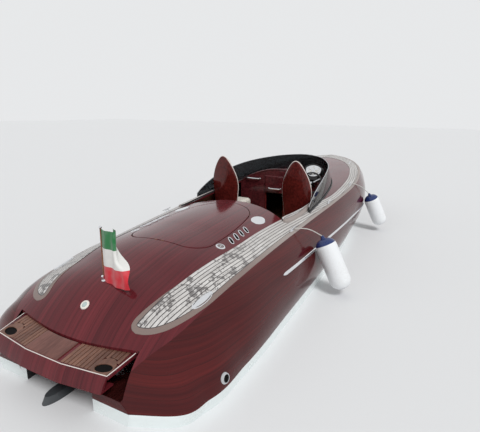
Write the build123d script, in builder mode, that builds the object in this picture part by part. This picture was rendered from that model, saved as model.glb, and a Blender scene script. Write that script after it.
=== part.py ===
from build123d import *
import math
import os

os.makedirs("parts", exist_ok=True)

# Mahogany sports runabout, afloat. Millimetres.
# +X is forward, +Y is port, z = 0 is the waterline, the origin is amidships on the centreline.
# Stations and the places of fittings are given from the stern, and turned into X by at().
half_length = 4200

hull_wall = 34
deck_wall = 24
seat_gap = 0.3
pin_fit = 0.05


def at(from_stern):
    return from_stern - half_length


# Hull stations. Half-breadths and heights from the waterline, one row per station:
# from_stern, keel_z, chine_y, chine_z, stripe_y, stripe_z, sheer_y, sheer_z, sheer_deg, crown_z
# sheer_deg is how far the side falls below level where it leaves the deck.
stations = [
    (0, -300, 700, -130, 745, 110, 570, 225, 22, 280),
    (130, -430, 960, -130, 1040, 118, 700, 395, 14, 450),
    (400, -480, 1120, -130, 1190, 125, 850, 535, 22, 695),
    (900, -500, 1190, -125, 1240, 130, 925, 650, 27, 860),
    (1900, -515, 1215, -115, 1250, 140, 965, 730, 30, 965),
    (3300, -520, 1210, -90, 1248, 152, 1035, 805, 36, 1005),
    (4700, -520, 1160, -50, 1215, 168, 1120, 885, 47, 1030),
    (5800, -490, 1020, -20, 1115, 200, 1125, 950, 47, 1055),
    (6700, -400, 850, 20, 945, 250, 1000, 1025, 49, 1095),
    (7400, -200, 590, 140, 690, 330, 810, 1080, 52, 1135),
    (7900, 60, 320, 330, 400, 450, 545, 1125, 58, 1160),
    (8200, 400, 120, 560, 150, 650, 270, 1152, 66, 1175),
    (8310, 700, 40, 760, 48, 810, 90, 1165, 74, 1181),
]
section_places = [0, 60, 130, 250, 400, 620, 900, 1300, 1800, 2400, 3000, 3600, 4200, 4800, 5400, 5900,
                  6350, 6750, 7100, 7400, 7680, 7900, 8080, 8200, 8270, 8310]
cavity_from, cavity_to = 400, 7900

# Stern: the recess that the platform sits in, and the slot for the drive below it.
recess_gap = 9
recess_corner = 275
recess_half_width = 672
recess_floor_z = 195
slot_depth = 350
slot_half_width = 385

# Swim platform
platform_thickness = 26
platform_front = 255
platform_side_half = 650
platform_aft = -55
platform_aft_half = 612
platform_point = -170
platform_bulge = 125
platform_front_z = 462
platform_fall = 8.5
fascia_drop = 190
fascia_thickness = 22
slat_height = 9
slat_count = 17
slat_groove = 4
fairlead_length = 120
fairlead_width = 46

# Teak side decks, in plan: the tip at the stern and the inner edge up to the bow
teak_tip = 300
teak_tip_half = 640
teak_inner = [(585, 596), (1700, 680), (2880, 738), (3700, 850), (4500, 965), (5500, 955), (6500, 830),
              (7250, 600), (7650, 330), (7800, 0)]
teak_outer = [(300, 720), (700, 905), (1500, 975)]

# Cockpit opening
cockpit_aft = 2880
cockpit_bulge = 200
cockpit_edge = [(2880, 752), (3500, 822), (4100, 838), (4450, 832), (4790, 800)]
sole_z = 280
sole_thickness = 22
dash_from = 4760
cuddy_end = 6900

# Outer edge of the coaming pad, inside the foot of the windscreen
pad_outer = [(2920, 862), (3480, 903), (4100, 872)]
cushion_inset = 14
pad_inset = 6
pad_nose = 50
bulkhead_setback = 55
bulkhead_reach = 1300
bulkhead_wall = 25
dash_half = 790
dash_top_z = 1235
dash_wall = 25
companion_y = 110
companion_width = 330
companion_top_z = 800
# from_stern, half-width, crest height of the cowl between the dashboard and the windscreen
dash_cowl_rows = [(4785, 770, 1235), (5400, 680, 1188), (5900, 470, 1142), (6300, 180, 1105)]

gauge_half = 125
gauge_rim = 16
gauge_depth = 170
gauge_thickness = 6
gauge_plane = Plane(origin=(at(4700), -590, 1280), x_dir=(0, 1, 0), z_dir=(-0.94, 0, 0.34))
dash_handle_places = [(540, 1040), (110, 900)]
handle_half = 95
wheel_dish = 40
wheel_hub_radius = 34
wheel_hub_length = 46
wheel_spoke_width = 26
column_length = 200

# Engine hatch, in plan
hatch_aft = 1335
hatch_front = 2940
hatch_aft_half = 500
hatch_front_half = 440
hatch_gap = 9
hatch_flat_half = 300
hatch_landing = 26
hatch_landing_depth = 30
hinge_radius = 4
hinge_pin_radius = 2
hinge_middle_half = 22
hinge_half = 60

# Windscreen
screen_base_front = 6610
screen_top_front = 6050
screen_end = 3480
screen_top_z = 1385
screen_end_z = 1060
screen_glass = 8
# Plan of the glass at z = 880, at its top, and of the channel on the deck, from the aft end to the nose:
# from_stern, half-breadth, and the outward direction there
screen_base = [(3480, 932, 0, 1), (4400, 900, 0.08, 1), (5300, 788, 0.2, 0.98), (5950, 590, 0.42, 0.91),
               (6370, 375, 0.55, 0.83)]
screen_top = [(3480, 912, 0, 1), (4300, 868, 0.1, 1), (5000, 752, 0.22, 0.97), (5520, 555, 0.42, 0.91),
              (5860, 340, 0.55, 0.83)]
screen_channel = [(3480, 929, 0, 1), (4380, 895, 0.08, 1), (5235, 780, 0.2, 0.98), (5840, 583, 0.42, 0.91),
                  (6235, 366, 0.55, 0.83)]
screen_channel_front = 6440
screen_channel_width = 34
screen_channel_height = 20

# Seats
seat_x = 3760
seat_half_spacing = 612
seat_back_half = 232
seat_waist_half = 194
seat_foot_half = 186
seat_shoulder_z = 1060
seat_apex_z = 1530
seat_shell_thickness = 30
seat_lean_deg = 6
cushion_thickness = 80
cushion_length = 520
cushion_half_width = 250
cushion_top_z = 760
cushion_height = 120

# Steering wheel and drive
wheel_x = 4560
wheel_z = 1090
wheel_radius = 175
wheel_rim_radius = 13
wheel_tilt_deg = 25
drive_pivot_x = 240
drive_pivot_z = -60
propeller_z = -700

engine_x = (1050, 1950)
engine_z = (-260, 480)
engine_width = 700
# z, front and back from the stern, half thickness of the drive leg
leg_rows = [(-640, 60, -190, 40), (-480, 90, -190, 34), (-300, 110, -190, 36), (-165, 145, -170, 58),
            (-125, 250, -155, 70), (8, 250, -150, 66), (60, 120, -120, 48)]
lug_offset = 115
lug_height = 44
pivot_pin_radius = 14
cavitation_z = -492
torpedo_x = (-230, 40)
shaft_radius = 18
shaft_gap = 6
hub_length = 110
hub_radius = 52
blade_count = 3
# radius, chord, angle to the disc, thickness
blade_rows = [(44, 90, 48, 14), (110, 150, 32, 10), (160, 140, 25, 7), (188, 70, 21, 4)]

# Fittings: from_stern and half-breadth
bracket_y = 590
bracket_width = 40
bracket_foot_z = 300
bracket_heel = 165
bracket_toe = 30
bracket_toe_depth = 20
louvre_from = 1840
louvre_pitch = 120
louvre_count = 4
louvre_y = 590
louvre_length = 130
louvre_width = 46
ring_cap_x = 1700
ring_cap_y = 560
ring_cap_radius = 52
oval_cap_x = 2610
oval_cap_y = 560
oval_cap_length = 170
oval_cap_width = 110
stern_lamp_x = 330
stern_lamp_radius = 42
bow_light_x = 7150
cleat_places = [(2700, 930), (4150, 1030), (5500, 1060), (7350, 640)]
cleat_length = 190
cleat_bar = 20
cleat_height = 48
cleat_foot = 74
cleat_lift = 0.8
flush_cleat_x = 830
flush_cleat_y = 850
flush_cleat_length = 330
flush_cleat_width = 52
flush_cleat_bar = 14
exhaust_x = 560
exhaust_z = 235
exhaust_radius = 48
staff_x = 560
staff_top_z = 1265
staff_radius = 9
flag_thickness = 24
flag_top_z = 1240
flag_bottom_z = 845
flag_width = 150
fender_radius = 135
line_radius = 7
# name, from_stern and height of the top, from_stern and height of the foot, outward lean, and its cleat
fender_rows = [("fender_aft", 2890, 700, 2880, 115, 27, 0),
               ("fender_forward", 5940, 700, 6080, 150, 23, 2)]
fender_taper = 90
fender_neck = 45
fender_neck_radius = 26

# Chrome rub strip
strip_runs = 24
strip_from = 1930
strip_to = 7550
strip_z = 548
strip_height = 26
strip_proud = 14


def column_slope(index, column):
    # Slope of a station column at a row, weighed from the spans before and after it.
    spans = []
    for low, high in ((index - 1, index), (index, index + 1)):
        if low >= 0 and high < len(stations):
            run = stations[high][0] - stations[low][0]
            spans.append(((stations[high][column] - stations[low][column]) / run, run))
    if len(spans) == 1:
        return spans[0][0]
    (behind, run_behind), (ahead, run_ahead) = spans
    return (behind * run_ahead + ahead * run_behind) / (run_behind + run_ahead)


def hull_row(from_stern):
    # A station at any place: each column follows a smooth cubic curve through the table.
    index = max(i for i in range(len(stations) - 1) if stations[i][0] <= from_stern)
    low, high = stations[index], stations[index + 1]
    span = high[0] - low[0]
    t = (from_stern - low[0]) / span
    row = [from_stern]
    for column in range(1, len(low)):
        row.append(low[column] + (high[column] - low[column]) * (3 * t**2 - 2 * t**3)
                   + (t**3 - 2 * t**2 + t) * span * column_slope(index, column)
                   + (t**3 - t**2) * span * column_slope(index + 1, column))
    return row


hull_rows = [hull_row(x) for x in section_places]
cavity_rows = [row for row in hull_rows if cavity_from <= row[0] <= cavity_to]


def section_points(row, inset):
    # Half a hull section as its corner points, moved inward by inset.
    x, keel_z, chine_y, chine_z, stripe_y, stripe_z, sheer_y, sheer_z, sheer_deg, crown_z = row
    keel = (0, keel_z + inset * 1.3)
    chine = (chine_y - inset, chine_z + inset * 0.5)
    stripe = (stripe_y - inset, stripe_z)
    sheer = (sheer_y - inset * 0.8, sheer_z - deck_wall)
    return keel, chine, stripe, sheer


def deck_arc_z(row, y, lift=0):
    # Height of the crowned deck's circle at a half-breadth.
    sheer_y, sheer_z, crown_z = row[6], row[7], row[9]
    rise = crown_z - sheer_z
    radius = (sheer_y**2 + rise**2) / (2 * rise)
    return crown_z + lift - radius + math.sqrt(radius**2 - y**2)


def side_tangent(row):
    fall = math.radians(row[8])
    return (math.cos(fall), -math.sin(fall))


def flip(point):
    return (-point[0], point[1])


def loft_bottom(rows):
    # Everything under the stripe's upper edge, as one solid.
    with BuildPart() as body:
        for row in rows:
            keel, chine, stripe, sheer = section_points(row, 0)
            with BuildSketch(Plane.YZ.offset(at(row[0]))):
                with BuildLine():
                    Polyline(stripe, chine, keel, flip(chine), flip(stripe), close=True)
                make_face()
        loft(ruled=True)
    return body.part


def loft_topsides(rows):
    # From the stripe up to the underside of the deck, across the full beam.
    with BuildPart() as body:
        for row in rows:
            keel, chine, stripe, sheer = section_points(row, 0)
            fall = side_tangent(row)
            with BuildSketch(Plane.YZ.offset(at(row[0]))):
                with BuildLine():
                    TangentArc(sheer, stripe, tangent=fall)
                    TangentArc(flip(sheer), flip(stripe), tangent=flip(fall))
                    Line(stripe, flip(stripe))
                    Line(sheer, flip(sheer))
                make_face()
        loft(ruled=True)
    return body.part


def loft_deck(rows, lift, thickness):
    # The crowned deck as a slab; lift raises it so that what lies on the deck can be cut from it.
    with BuildPart() as body:
        for row in rows:
            sheer_y, top_z, crown_z = row[6], row[7] + lift, row[9] + lift
            with BuildSketch(Plane.YZ.offset(at(row[0]))):
                with BuildLine():
                    ThreePointArc((sheer_y, top_z), (0, crown_z), (-sheer_y, top_z))
                    Line((-sheer_y, top_z), (-sheer_y, top_z - thickness))
                    ThreePointArc((-sheer_y, top_z - thickness), (0, crown_z - thickness),
                                  (sheer_y, top_z - thickness))
                    Line((sheer_y, top_z - thickness), (sheer_y, top_z))
                make_face()
        loft(ruled=True)
    return body.part


def loft_interior(rows):
    # The hollow inside the hull: keel, sides and the underside of the deck in one solid.
    with BuildPart() as body:
        for row in rows:
            keel, chine, stripe, sheer = section_points(row, hull_wall)
            fall = side_tangent(row)
            corner = (sheer[0], deck_arc_z(row, sheer[0], -deck_wall - seat_gap))
            with BuildSketch(Plane.YZ.offset(at(row[0]))):
                with BuildLine():
                    ThreePointArc(corner, (0, row[9] - deck_wall - seat_gap), flip(corner))
                    Line(corner, sheer)
                    Line(flip(corner), flip(sheer))
                    TangentArc(sheer, stripe, tangent=fall)
                    TangentArc(flip(sheer), flip(stripe), tangent=flip(fall))
                    Polyline(stripe, chine, keel, flip(chine), flip(stripe))
                make_face()
        loft(ruled=True)
    return body.part


def recess_cutter(clearance):
    with BuildPart() as cutter:
        with BuildSketch(Plane.XY.offset(recess_floor_z - clearance)):
            with BuildLine():
                Polyline((at(-400), recess_half_width + clearance), (at(recess_corner),
                         recess_half_width + clearance))
                ThreePointArc((at(recess_corner), recess_half_width + clearance),
                              (at(platform_bulge + clearance), 0),
                              (at(recess_corner), -recess_half_width - clearance))
                Polyline((at(recess_corner), -recess_half_width - clearance),
                         (at(-400), -recess_half_width - clearance), (at(-400), recess_half_width + clearance))
            make_face()
        extrude(amount=1000)
        with BuildSketch(Plane.XY.offset(-800)):
            with Locations((at(slot_depth / 2 - 200), 0)):
                Rectangle(slot_depth + 400, 2 * slot_half_width)
        extrude(amount=800 + recess_floor_z + 1)
    return cutter.part


bottom_full = loft_bottom(hull_rows)
topsides_full = loft_topsides(hull_rows)
interior = loft_interior(cavity_rows)
deck_slab = loft_deck(hull_rows, 0, deck_wall)
stern_cut = recess_cutter(recess_gap)


def write(name, piece):
    piece.label = name
    export_step(piece, f"parts/{name}.step")


with BuildPart() as hull_bottom:
    add(bottom_full)
    add(interior, mode=Mode.SUBTRACT)
    add(stern_cut, mode=Mode.SUBTRACT)
write("hull_bottom", hull_bottom.part)

with BuildPart() as topsides:
    add(topsides_full)
    add(interior, mode=Mode.SUBTRACT)
    add(stern_cut, mode=Mode.SUBTRACT)


def cut_in_plan(slab, outlines, keep=Mode.INTERSECT):
    # What is left of a slab inside an outline, or outside it with Mode.SUBTRACT.
    with BuildPart() as cut:
        add(slab)
        for outline in outlines:
            with BuildSketch(Plane.XY.offset(-900)):
                add(outline)
            extrude(amount=3000, mode=keep)
    return cut.part


# The sides part from the transom where the hollow starts, and from each other at the stem.
panel_length = 2 * half_length
for name, aft, low_y, high_y in (("transom", cavity_from - panel_length, -bulkhead_reach, bulkhead_reach),
                                 ("topsides_port", cavity_from, 0, bulkhead_reach),
                                 ("topsides_starboard", cavity_from, -bulkhead_reach, 0)):
    with BuildSketch() as panel_plan:
        with Locations((at(aft + panel_length / 2), (low_y + high_y) / 2)):
            Rectangle(panel_length, high_y - low_y)
    with BuildPart() as panel:
        add(cut_in_plan(topsides.part, [panel_plan.sketch]))
    write(name, panel.part)


def plan_curve(points):
    # A run of three-point arcs through an odd number of plan points, x from the stern.
    for first, middle, last in zip(points[0:-2:2], points[1:-1:2], points[2::2]):
        ThreePointArc(*[(at(x), y) for x, y in (first, middle, last)])


def teak_outline(side, clearance):
    # The rounded tip, the inner edge to the bow and a far outer edge beyond the sheer.
    inner = [(x, side * (y - clearance)) for x, y in teak_inner]
    tip_in = (teak_tip + 60, side * (teak_tip_half - 85 - clearance))
    outer = [(x, side * (y + clearance)) for x, y in teak_outer]
    with BuildSketch() as outline:
        with BuildLine():
            Polyline(*[(at(x), y) for x, y in [(half_length * 2.2, 0), (half_length * 2.2, side * 1500)]])
            Polyline((at(half_length * 2.2), side * 1500), (at(1500), side * 1500), (at(1500), outer[2][1]))
            plan_curve([outer[2], outer[1], outer[0]])
            plan_curve([outer[0], (teak_tip - clearance, side * teak_tip_half), tip_in])
            Line((at(tip_in[0]), tip_in[1]), (at(inner[0][0]), inner[0][1]))
            plan_curve(inner[0:9])
            Polyline(*[(at(x), y) for x, y in [inner[8], inner[9], (half_length * 2.2, 0)]])
        make_face()
    return outline.sketch


def cockpit_outline(clearance):
    # The opening in the deck, from the aft deck's edge to the dashboard.
    edge = [(x, y - clearance) for x, y in cockpit_edge]
    aft, half = edge[0][0] + clearance, edge[0][1]
    front, front_half = edge[-1][0] - clearance, edge[-1][1]
    with BuildSketch() as outline:
        with BuildLine():
            ThreePointArc((at(aft), half), (at(aft + cockpit_bulge), 0), (at(aft), -half))
            for side in (1, -1):
                plan_curve([(aft, side * half)] + [(x, side * y) for x, y in edge[1:4]]
                           + [(front, side * front_half)])
            Line((at(front), front_half), (at(front), -front_half))
        make_face()
    return outline.sketch


def hatch_outline(clearance):
    # Straight aft edge for the hinge, rounded corners, and a rounder front.
    aft, front = hatch_aft - clearance, hatch_front + clearance
    flat, aft_half, front_half = hatch_flat_half, hatch_aft_half + clearance, hatch_front_half + clearance
    side_run = [(aft + 300, aft_half), ((aft + front) / 2 + 90, (aft_half + front_half) / 2 + 14),
                (front - 420, front_half)]
    with BuildSketch() as outline:
        with BuildLine():
            Line((at(aft), -flat), (at(aft), flat))
            for side in (1, -1):
                corner = [(aft, flat), (aft + 82, aft_half - 62), side_run[0]]
                nose = [side_run[2], (front - 122, front_half * 0.64), (front, 0)]
                for run in (corner, side_run, nose):
                    plan_curve([(x, side * y) for x, y in run])
        make_face()
    return outline.sketch


for side_name, side in (("port", 1), ("starboard", -1)):
    with BuildPart() as side_deck:
        add(cut_in_plan(deck_slab, [teak_outline(side, 0)]))
        add(cut_in_plan(deck_slab, [cockpit_outline(0)]), mode=Mode.SUBTRACT)
    write(f"side_deck_{side_name}", side_deck.part)

mahogany_deck = cut_in_plan(deck_slab, [teak_outline(1, seat_gap), teak_outline(-1, seat_gap),
                                        cockpit_outline(0), hatch_outline(hatch_gap)], Mode.SUBTRACT)
deck_solids = (mahogany_deck - stern_cut).solids().sort_by(Axis.X)
for name, solid in (("aft_deck", deck_solids[0]), ("foredeck", deck_solids[-1])):
    with BuildPart() as deck_piece:
        add(solid)
    write(name, deck_piece.part)

on_deck = loft_deck(cavity_rows, screen_channel_height, screen_channel_height - seat_gap)
under_deck = loft_deck(cavity_rows, seat_gap, 500)


def between_sections(from_stern, measure):
    # A height or half-breadth of the ruled skin, read between the two sections beside the place.
    before = [row for row in hull_rows if row[0] <= from_stern][-1]
    after = [row for row in hull_rows if row[0] > from_stern][0]
    share = (from_stern - before[0]) / (after[0] - before[0])
    return measure(before) * (1 - share) + measure(after) * share


def deck_top(from_stern, y):
    return between_sections(from_stern, lambda row: deck_arc_z(row, y))


def side_half(row, z):
    # Half-breadth of one section's side arc at a height.
    (foot_y, foot_z), (head_y, head_z) = section_points(row, 0)[2:]
    fall = math.radians(row[8])
    turn = math.atan2(head_z - foot_z, foot_y - head_y) - fall
    radius = math.hypot(foot_y - head_y, foot_z - head_z) / (2 * math.sin(turn))
    centre_y, centre_z = head_y - radius * math.sin(fall), head_z - radius * math.cos(fall)
    return centre_y + math.sqrt(max(radius**2 - (z - centre_z)**2, 0))


def side_face_y(from_stern, z):
    return between_sections(from_stern, lambda row: side_half(row, z))


def bulkhead_arc(aft_shift):
    # The engine bulkhead follows the aft deck's front edge, one bulkhead_setback behind it.
    centre = cockpit_aft + cockpit_bulge - bulkhead_setback + aft_shift
    half = cockpit_edge[0][1]
    radius = (half**2 + cockpit_bulge**2) / (2 * cockpit_bulge)
    side_x = centre - radius + math.sqrt(radius**2 - bulkhead_reach**2)
    return [(side_x, bulkhead_reach), (centre, 0), (side_x, -bulkhead_reach)]


# Engine hatch, hinged in its aft seam, and the landing under its edge
hinge_x = hatch_aft - hatch_gap / 2
hinge_z = deck_top(hatch_aft, 0) + 1
hinge_plane = Plane(origin=(at(hinge_x), 0, hinge_z), x_dir=(1, 0, 0), z_dir=(0, 1, 0))

with BuildPart() as engine_hatch:
    add(cut_in_plan(deck_slab, [hatch_outline(0)]))
    with BuildSketch(hinge_plane.offset(-hinge_middle_half)):
        Circle(hinge_radius)
        with Locations((hatch_gap / 2 + 3, 3)):
            Rectangle(hatch_gap + 6, hinge_radius - 1)
    extrude(amount=2 * hinge_middle_half)
    with BuildSketch(hinge_plane.offset(-hinge_middle_half - 1)):
        Circle(hinge_pin_radius + pin_fit)
    extrude(amount=2 * hinge_middle_half + 2, mode=Mode.SUBTRACT)
write("engine_hatch", engine_hatch.part)

with BuildPart() as hatch_landing_frame:
    add(cut_in_plan(loft_deck(cavity_rows, -deck_wall - seat_gap, hatch_landing_depth),
                    [hatch_outline(hatch_gap + hatch_landing)]))
    with BuildSketch(Plane.XY.offset(-900)):
        add(hatch_outline(-hatch_landing))
    extrude(amount=3000, mode=Mode.SUBTRACT)
    with BuildSketch(hinge_plane.offset(-hinge_half)):
        Circle(hinge_pin_radius)
    extrude(amount=2 * hinge_half)
    for foot in (-hinge_half, hinge_middle_half + 0.5):
        with BuildSketch(hinge_plane.offset(foot)):
            Circle(hinge_radius)
            with Locations((0, deck_wall / 2 + 2)):
                Rectangle(2 * hinge_radius, deck_wall + 4)
        extrude(amount=hinge_half - hinge_middle_half - 0.5)
write("hatch_landing", hatch_landing_frame.part)

# Inside the hull: bulkheads and floor, each cut to the hollow it stands in
with BuildPart() as cockpit_sole:
    with BuildSketch(Plane.XY.offset(sole_z)):
        with BuildLine():
            aft_edge = bulkhead_arc(bulkhead_wall + seat_gap)
            plan_curve(aft_edge)
            Polyline(*[(at(x), y) for x, y in [aft_edge[0], (cuddy_end, bulkhead_reach),
                                               (cuddy_end, -bulkhead_reach), aft_edge[2]]])
        make_face()
    extrude(amount=-sole_thickness)
    add(interior, mode=Mode.INTERSECT)
write("cockpit_sole", cockpit_sole.part)

with BuildPart() as engine_bulkhead:
    with BuildSketch(Plane.XY.offset(-600)):
        with BuildLine():
            front_face, aft_face = bulkhead_arc(bulkhead_wall), bulkhead_arc(0)
            plan_curve(front_face)
            plan_curve(aft_face)
            for near, far in ((front_face[0], aft_face[0]), (front_face[2], aft_face[2])):
                Line((at(near[0]), near[1]), (at(far[0]), far[1]))
        make_face()
    extrude(amount=2000)
    add(interior, mode=Mode.INTERSECT)
write("engine_bulkhead", engine_bulkhead.part)

with BuildPart() as cuddy_bulkhead:
    with BuildSketch(Plane.YZ.offset(at(cuddy_end))):
        Rectangle(2 * bulkhead_reach, 3000)
    extrude(amount=bulkhead_wall)
    add(interior, mode=Mode.INTERSECT)
write("cuddy_bulkhead", cuddy_bulkhead.part)

with BuildPart() as dashboard:
    with BuildSketch(Plane.YZ.offset(at(dash_from))):
        with BuildLine():
            Polyline((-dash_half, deck_top(dash_from, dash_half)), (-dash_half, sole_z), (dash_half, sole_z),
                     (dash_half, deck_top(dash_from, dash_half)))
            ThreePointArc((dash_half, deck_top(dash_from, dash_half)), (0, dash_top_z),
                          (-dash_half, deck_top(dash_from, dash_half)))
        make_face()
        with Locations((companion_y, (companion_top_z + sole_z) / 2)):
            Rectangle(companion_width, companion_top_z - sole_z, mode=Mode.SUBTRACT)
    extrude(amount=dash_wall)
write("dashboard", dashboard.part)

with BuildPart() as dash_cowl:
    for x, half, crest in dash_cowl_rows:
        with BuildSketch(Plane.YZ.offset(at(x))):
            with BuildLine():
                ThreePointArc((half, deck_top(x, half) + 4), (0, crest), (-half, deck_top(x, half) + 4))
                Polyline((-half, deck_top(x, half) + 4), (-half, sole_z + 500), (half, sole_z + 500),
                         (half, deck_top(x, half) + 4))
            make_face()
    loft(ruled=True)
    add(under_deck, mode=Mode.SUBTRACT)
write("dash_cowl", dash_cowl.part)


# Cockpit furniture
for side_name, side in (("port", 1), ("starboard", -1)):
    lean = math.radians(seat_lean_deg)
    seat_foot_z = sole_z + seat_shell_thickness * math.sin(lean) + seat_gap
    seat_plane = Plane(origin=(at(seat_x) + (seat_apex_z - seat_foot_z) * math.tan(lean),
                               side * seat_half_spacing, seat_foot_z),
                       x_dir=(0, 1, 0), z_dir=(math.cos(lean), 0, math.sin(lean)))
    rise = (seat_apex_z - seat_foot_z) / math.cos(lean)
    shoulder = (seat_shoulder_z - seat_foot_z) / math.cos(lean)

    with BuildPart() as seat_shell:
        with BuildSketch(seat_plane) as arch:
            with BuildLine():
                for w in (1, -1):
                    ThreePointArc((w * seat_foot_half, 0), (w * seat_waist_half, shoulder * 0.6),
                                  (w * seat_back_half, shoulder))
                    ThreePointArc((w * seat_back_half, shoulder), (w * seat_back_half * 0.7, rise * 0.82),
                                  (w * 30, rise - 8))
                ThreePointArc((30, rise - 8), (0, rise), (-30, rise - 8))
                Line((-seat_foot_half, 0), (seat_foot_half, 0))
            make_face()
        extrude(amount=-seat_shell_thickness)
    write(f"seat_shell_{side_name}", seat_shell.part)

    with BuildPart() as seat_pad:
        with BuildSketch(seat_plane.offset(seat_gap)):
            add(arch.sketch_local)
            offset(amount=-cushion_inset, mode=Mode.REPLACE)
        extrude(amount=cushion_thickness)
        with BuildSketch(seat_plane.offset(-1)):
            Rectangle(2000, 2 * (cushion_top_z - sole_z + 3))
        extrude(amount=cushion_thickness + 20, mode=Mode.SUBTRACT)
    write(f"back_cushion_{side_name}", seat_pad.part)

    with BuildPart() as seat_cushion:
        with BuildSketch(Plane.XY.offset(cushion_top_z - cushion_height)):
            with Locations((at(seat_x + 125 + cushion_length / 2), side * seat_half_spacing)):
                RectangleRounded(cushion_length, 2 * cushion_half_width, 60)
        extrude(amount=cushion_height)
    write(f"seat_cushion_{side_name}", seat_cushion.part)

    with BuildPart() as seat_base:
        with BuildSketch(Plane.XY.offset(sole_z)):
            with Locations((at(seat_x + 125 + cushion_length / 2), side * seat_half_spacing)):
                RectangleRounded(cushion_length - 40, 2 * cushion_half_width - 60, 50)
        extrude(amount=cushion_top_z - cushion_height - seat_gap - sole_z, taper=3)
    write(f"seat_base_{side_name}", seat_base.part)

    with BuildPart() as coaming_pad:
        with BuildSketch(Plane.XY.offset(-900)):
            with BuildLine():
                inner = [(x, side * (y + pad_inset)) for x, y in cockpit_edge[:3]]
                outer = [(x, side * y) for x, y in pad_outer]
                plan_curve(inner)
                Line((at(inner[2][0]), inner[2][1]), (at(outer[2][0]), outer[2][1]))
                plan_curve(outer)
                plan_curve([outer[0], (cockpit_aft - pad_nose, side * (cockpit_edge[0][1] + 72)), inner[0]])
            make_face()
        extrude(amount=3000)
        add(on_deck, mode=Mode.INTERSECT)
    write(f"coaming_pad_{side_name}", coaming_pad.part)


def screen_band(run, nose_x, half_width, z):
    # A U-shaped band in plan, open aft, half_width each side of its centre line.
    with BuildSketch(Plane.XY.offset(z)) as band:
        with BuildLine():
            for w in (half_width, -half_width):
                for side in (1, -1):
                    plan_curve([(x + w * out_x, side * (y + w * out_y)) for x, y, out_x, out_y in run])
                end = run[-1]
                plan_curve([(end[0] + w * end[2], end[1] + w * end[3]), (nose_x + w, 0),
                            (end[0] + w * end[2], -end[1] - w * end[3])])
            for side in (1, -1):
                Line((at(run[0][0]), side * (run[0][1] + half_width)),
                     (at(run[0][0]), side * (run[0][1] - half_width)))
        make_face()
    return band.sketch


with BuildPart() as screen_sweep:
    add(screen_band(screen_base, screen_base_front, screen_glass / 2, 880))
    add(screen_band(screen_top, screen_top_front, screen_glass / 2, screen_top_z + 20))
    loft(ruled=True)

with BuildPart() as windscreen_glass:
    add(screen_sweep.part)
    with BuildSketch(Plane.XZ.offset(-1500)):
        with BuildLine():
            ThreePointArc((at(screen_end - 50), screen_end_z - 10), (at(4600), screen_end_z + 200),
                          (at(screen_top_front + 10), screen_top_z))
            Polyline((at(screen_top_front + 10), screen_top_z), (at(7500), screen_top_z), (at(7500), 2500),
                     (at(screen_end - 50), 2500), (at(screen_end - 50), screen_end_z - 10))
        make_face()
    extrude(amount=3000, mode=Mode.SUBTRACT)
    add(under_deck, mode=Mode.SUBTRACT)
write("windscreen_glass", windscreen_glass.part)

with BuildPart() as windscreen_channel:
    with BuildSketch(Plane.XY.offset(0)):
        add(screen_band(screen_channel, screen_channel_front, screen_channel_width / 2, 0))
    extrude(amount=2000)
    add(on_deck, mode=Mode.INTERSECT)
    add(windscreen_glass.part, mode=Mode.SUBTRACT)
write("windscreen_channel", windscreen_channel.part)


# Dashboard fittings
def gauge_face():
    # Kidney shape of the gauge panel, in its own plane.
    with BuildSketch() as face:
        with BuildLine():
            ThreePointArc((-gauge_half, -gauge_half * 0.4), (-gauge_half * 0.75, gauge_half * 0.5),
                          (0, gauge_half * 0.75))
            ThreePointArc((0, gauge_half * 0.75), (gauge_half * 0.75, gauge_half * 0.5),
                          (gauge_half, -gauge_half * 0.4))
            ThreePointArc((gauge_half, -gauge_half * 0.4), (0, -gauge_half * 0.75),
                          (-gauge_half, -gauge_half * 0.4))
        make_face()
    return face.sketch


with BuildPart() as gauge_pod:
    with BuildSketch(gauge_plane):
        add(gauge_face())
        offset(amount=gauge_rim)
        with Locations((0, gauge_half * 0.7)):
            Rectangle(gauge_half * 1.5, gauge_half * 1.2)
    extrude(amount=-gauge_depth)
    add(dash_cowl.part, mode=Mode.SUBTRACT)
    add(dashboard.part, mode=Mode.SUBTRACT)
write("gauge_pod", gauge_pod.part.solids().sort_by(Axis.X)[0])

with BuildPart() as gauge_panel:
    with BuildSketch(gauge_plane.offset(seat_gap)):
        add(gauge_face())
    extrude(amount=gauge_thickness)
write("gauge_panel", gauge_panel.part)

with BuildPart() as dash_handles:
    for y, z in dash_handle_places:
        with BuildLine():
            handle_path = FilletPolyline((at(dash_from), y - handle_half, z), (at(dash_from - 45), y - handle_half, z),
                                         (at(dash_from - 45), y + handle_half, z),
                                         (at(dash_from), y + handle_half, z), radius=22)
        with BuildSketch(Plane(origin=handle_path @ 0, z_dir=handle_path % 0)):
            Circle(9)
        sweep(path=handle_path)
write("dash_handles", dash_handles.part)

wheel_plane = Plane(origin=(at(wheel_x), -seat_half_spacing, wheel_z), x_dir=(0, 1, 0),
                    z_dir=(-math.cos(math.radians(wheel_tilt_deg)), 0, math.sin(math.radians(wheel_tilt_deg))))
with BuildPart() as steering_wheel:
    with BuildSketch(Plane(origin=wheel_plane.origin + wheel_plane.x_dir * wheel_radius, x_dir=wheel_plane.x_dir,
                           z_dir=wheel_plane.y_dir)):
        Circle(wheel_rim_radius)
    revolve(axis=Axis(wheel_plane.origin, wheel_plane.z_dir))
    with BuildSketch(wheel_plane.offset(-wheel_dish)):
        Circle(wheel_hub_radius)
    extrude(amount=wheel_hub_length)
    for angle in (90, 210, 330):
        with BuildSketch(wheel_plane.offset(-6)):
            with PolarLocations(wheel_radius / 2, 1, start_angle=angle):
                Rectangle(wheel_radius, wheel_spoke_width)
        extrude(amount=8)
write("steering_wheel", steering_wheel.part)

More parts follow.
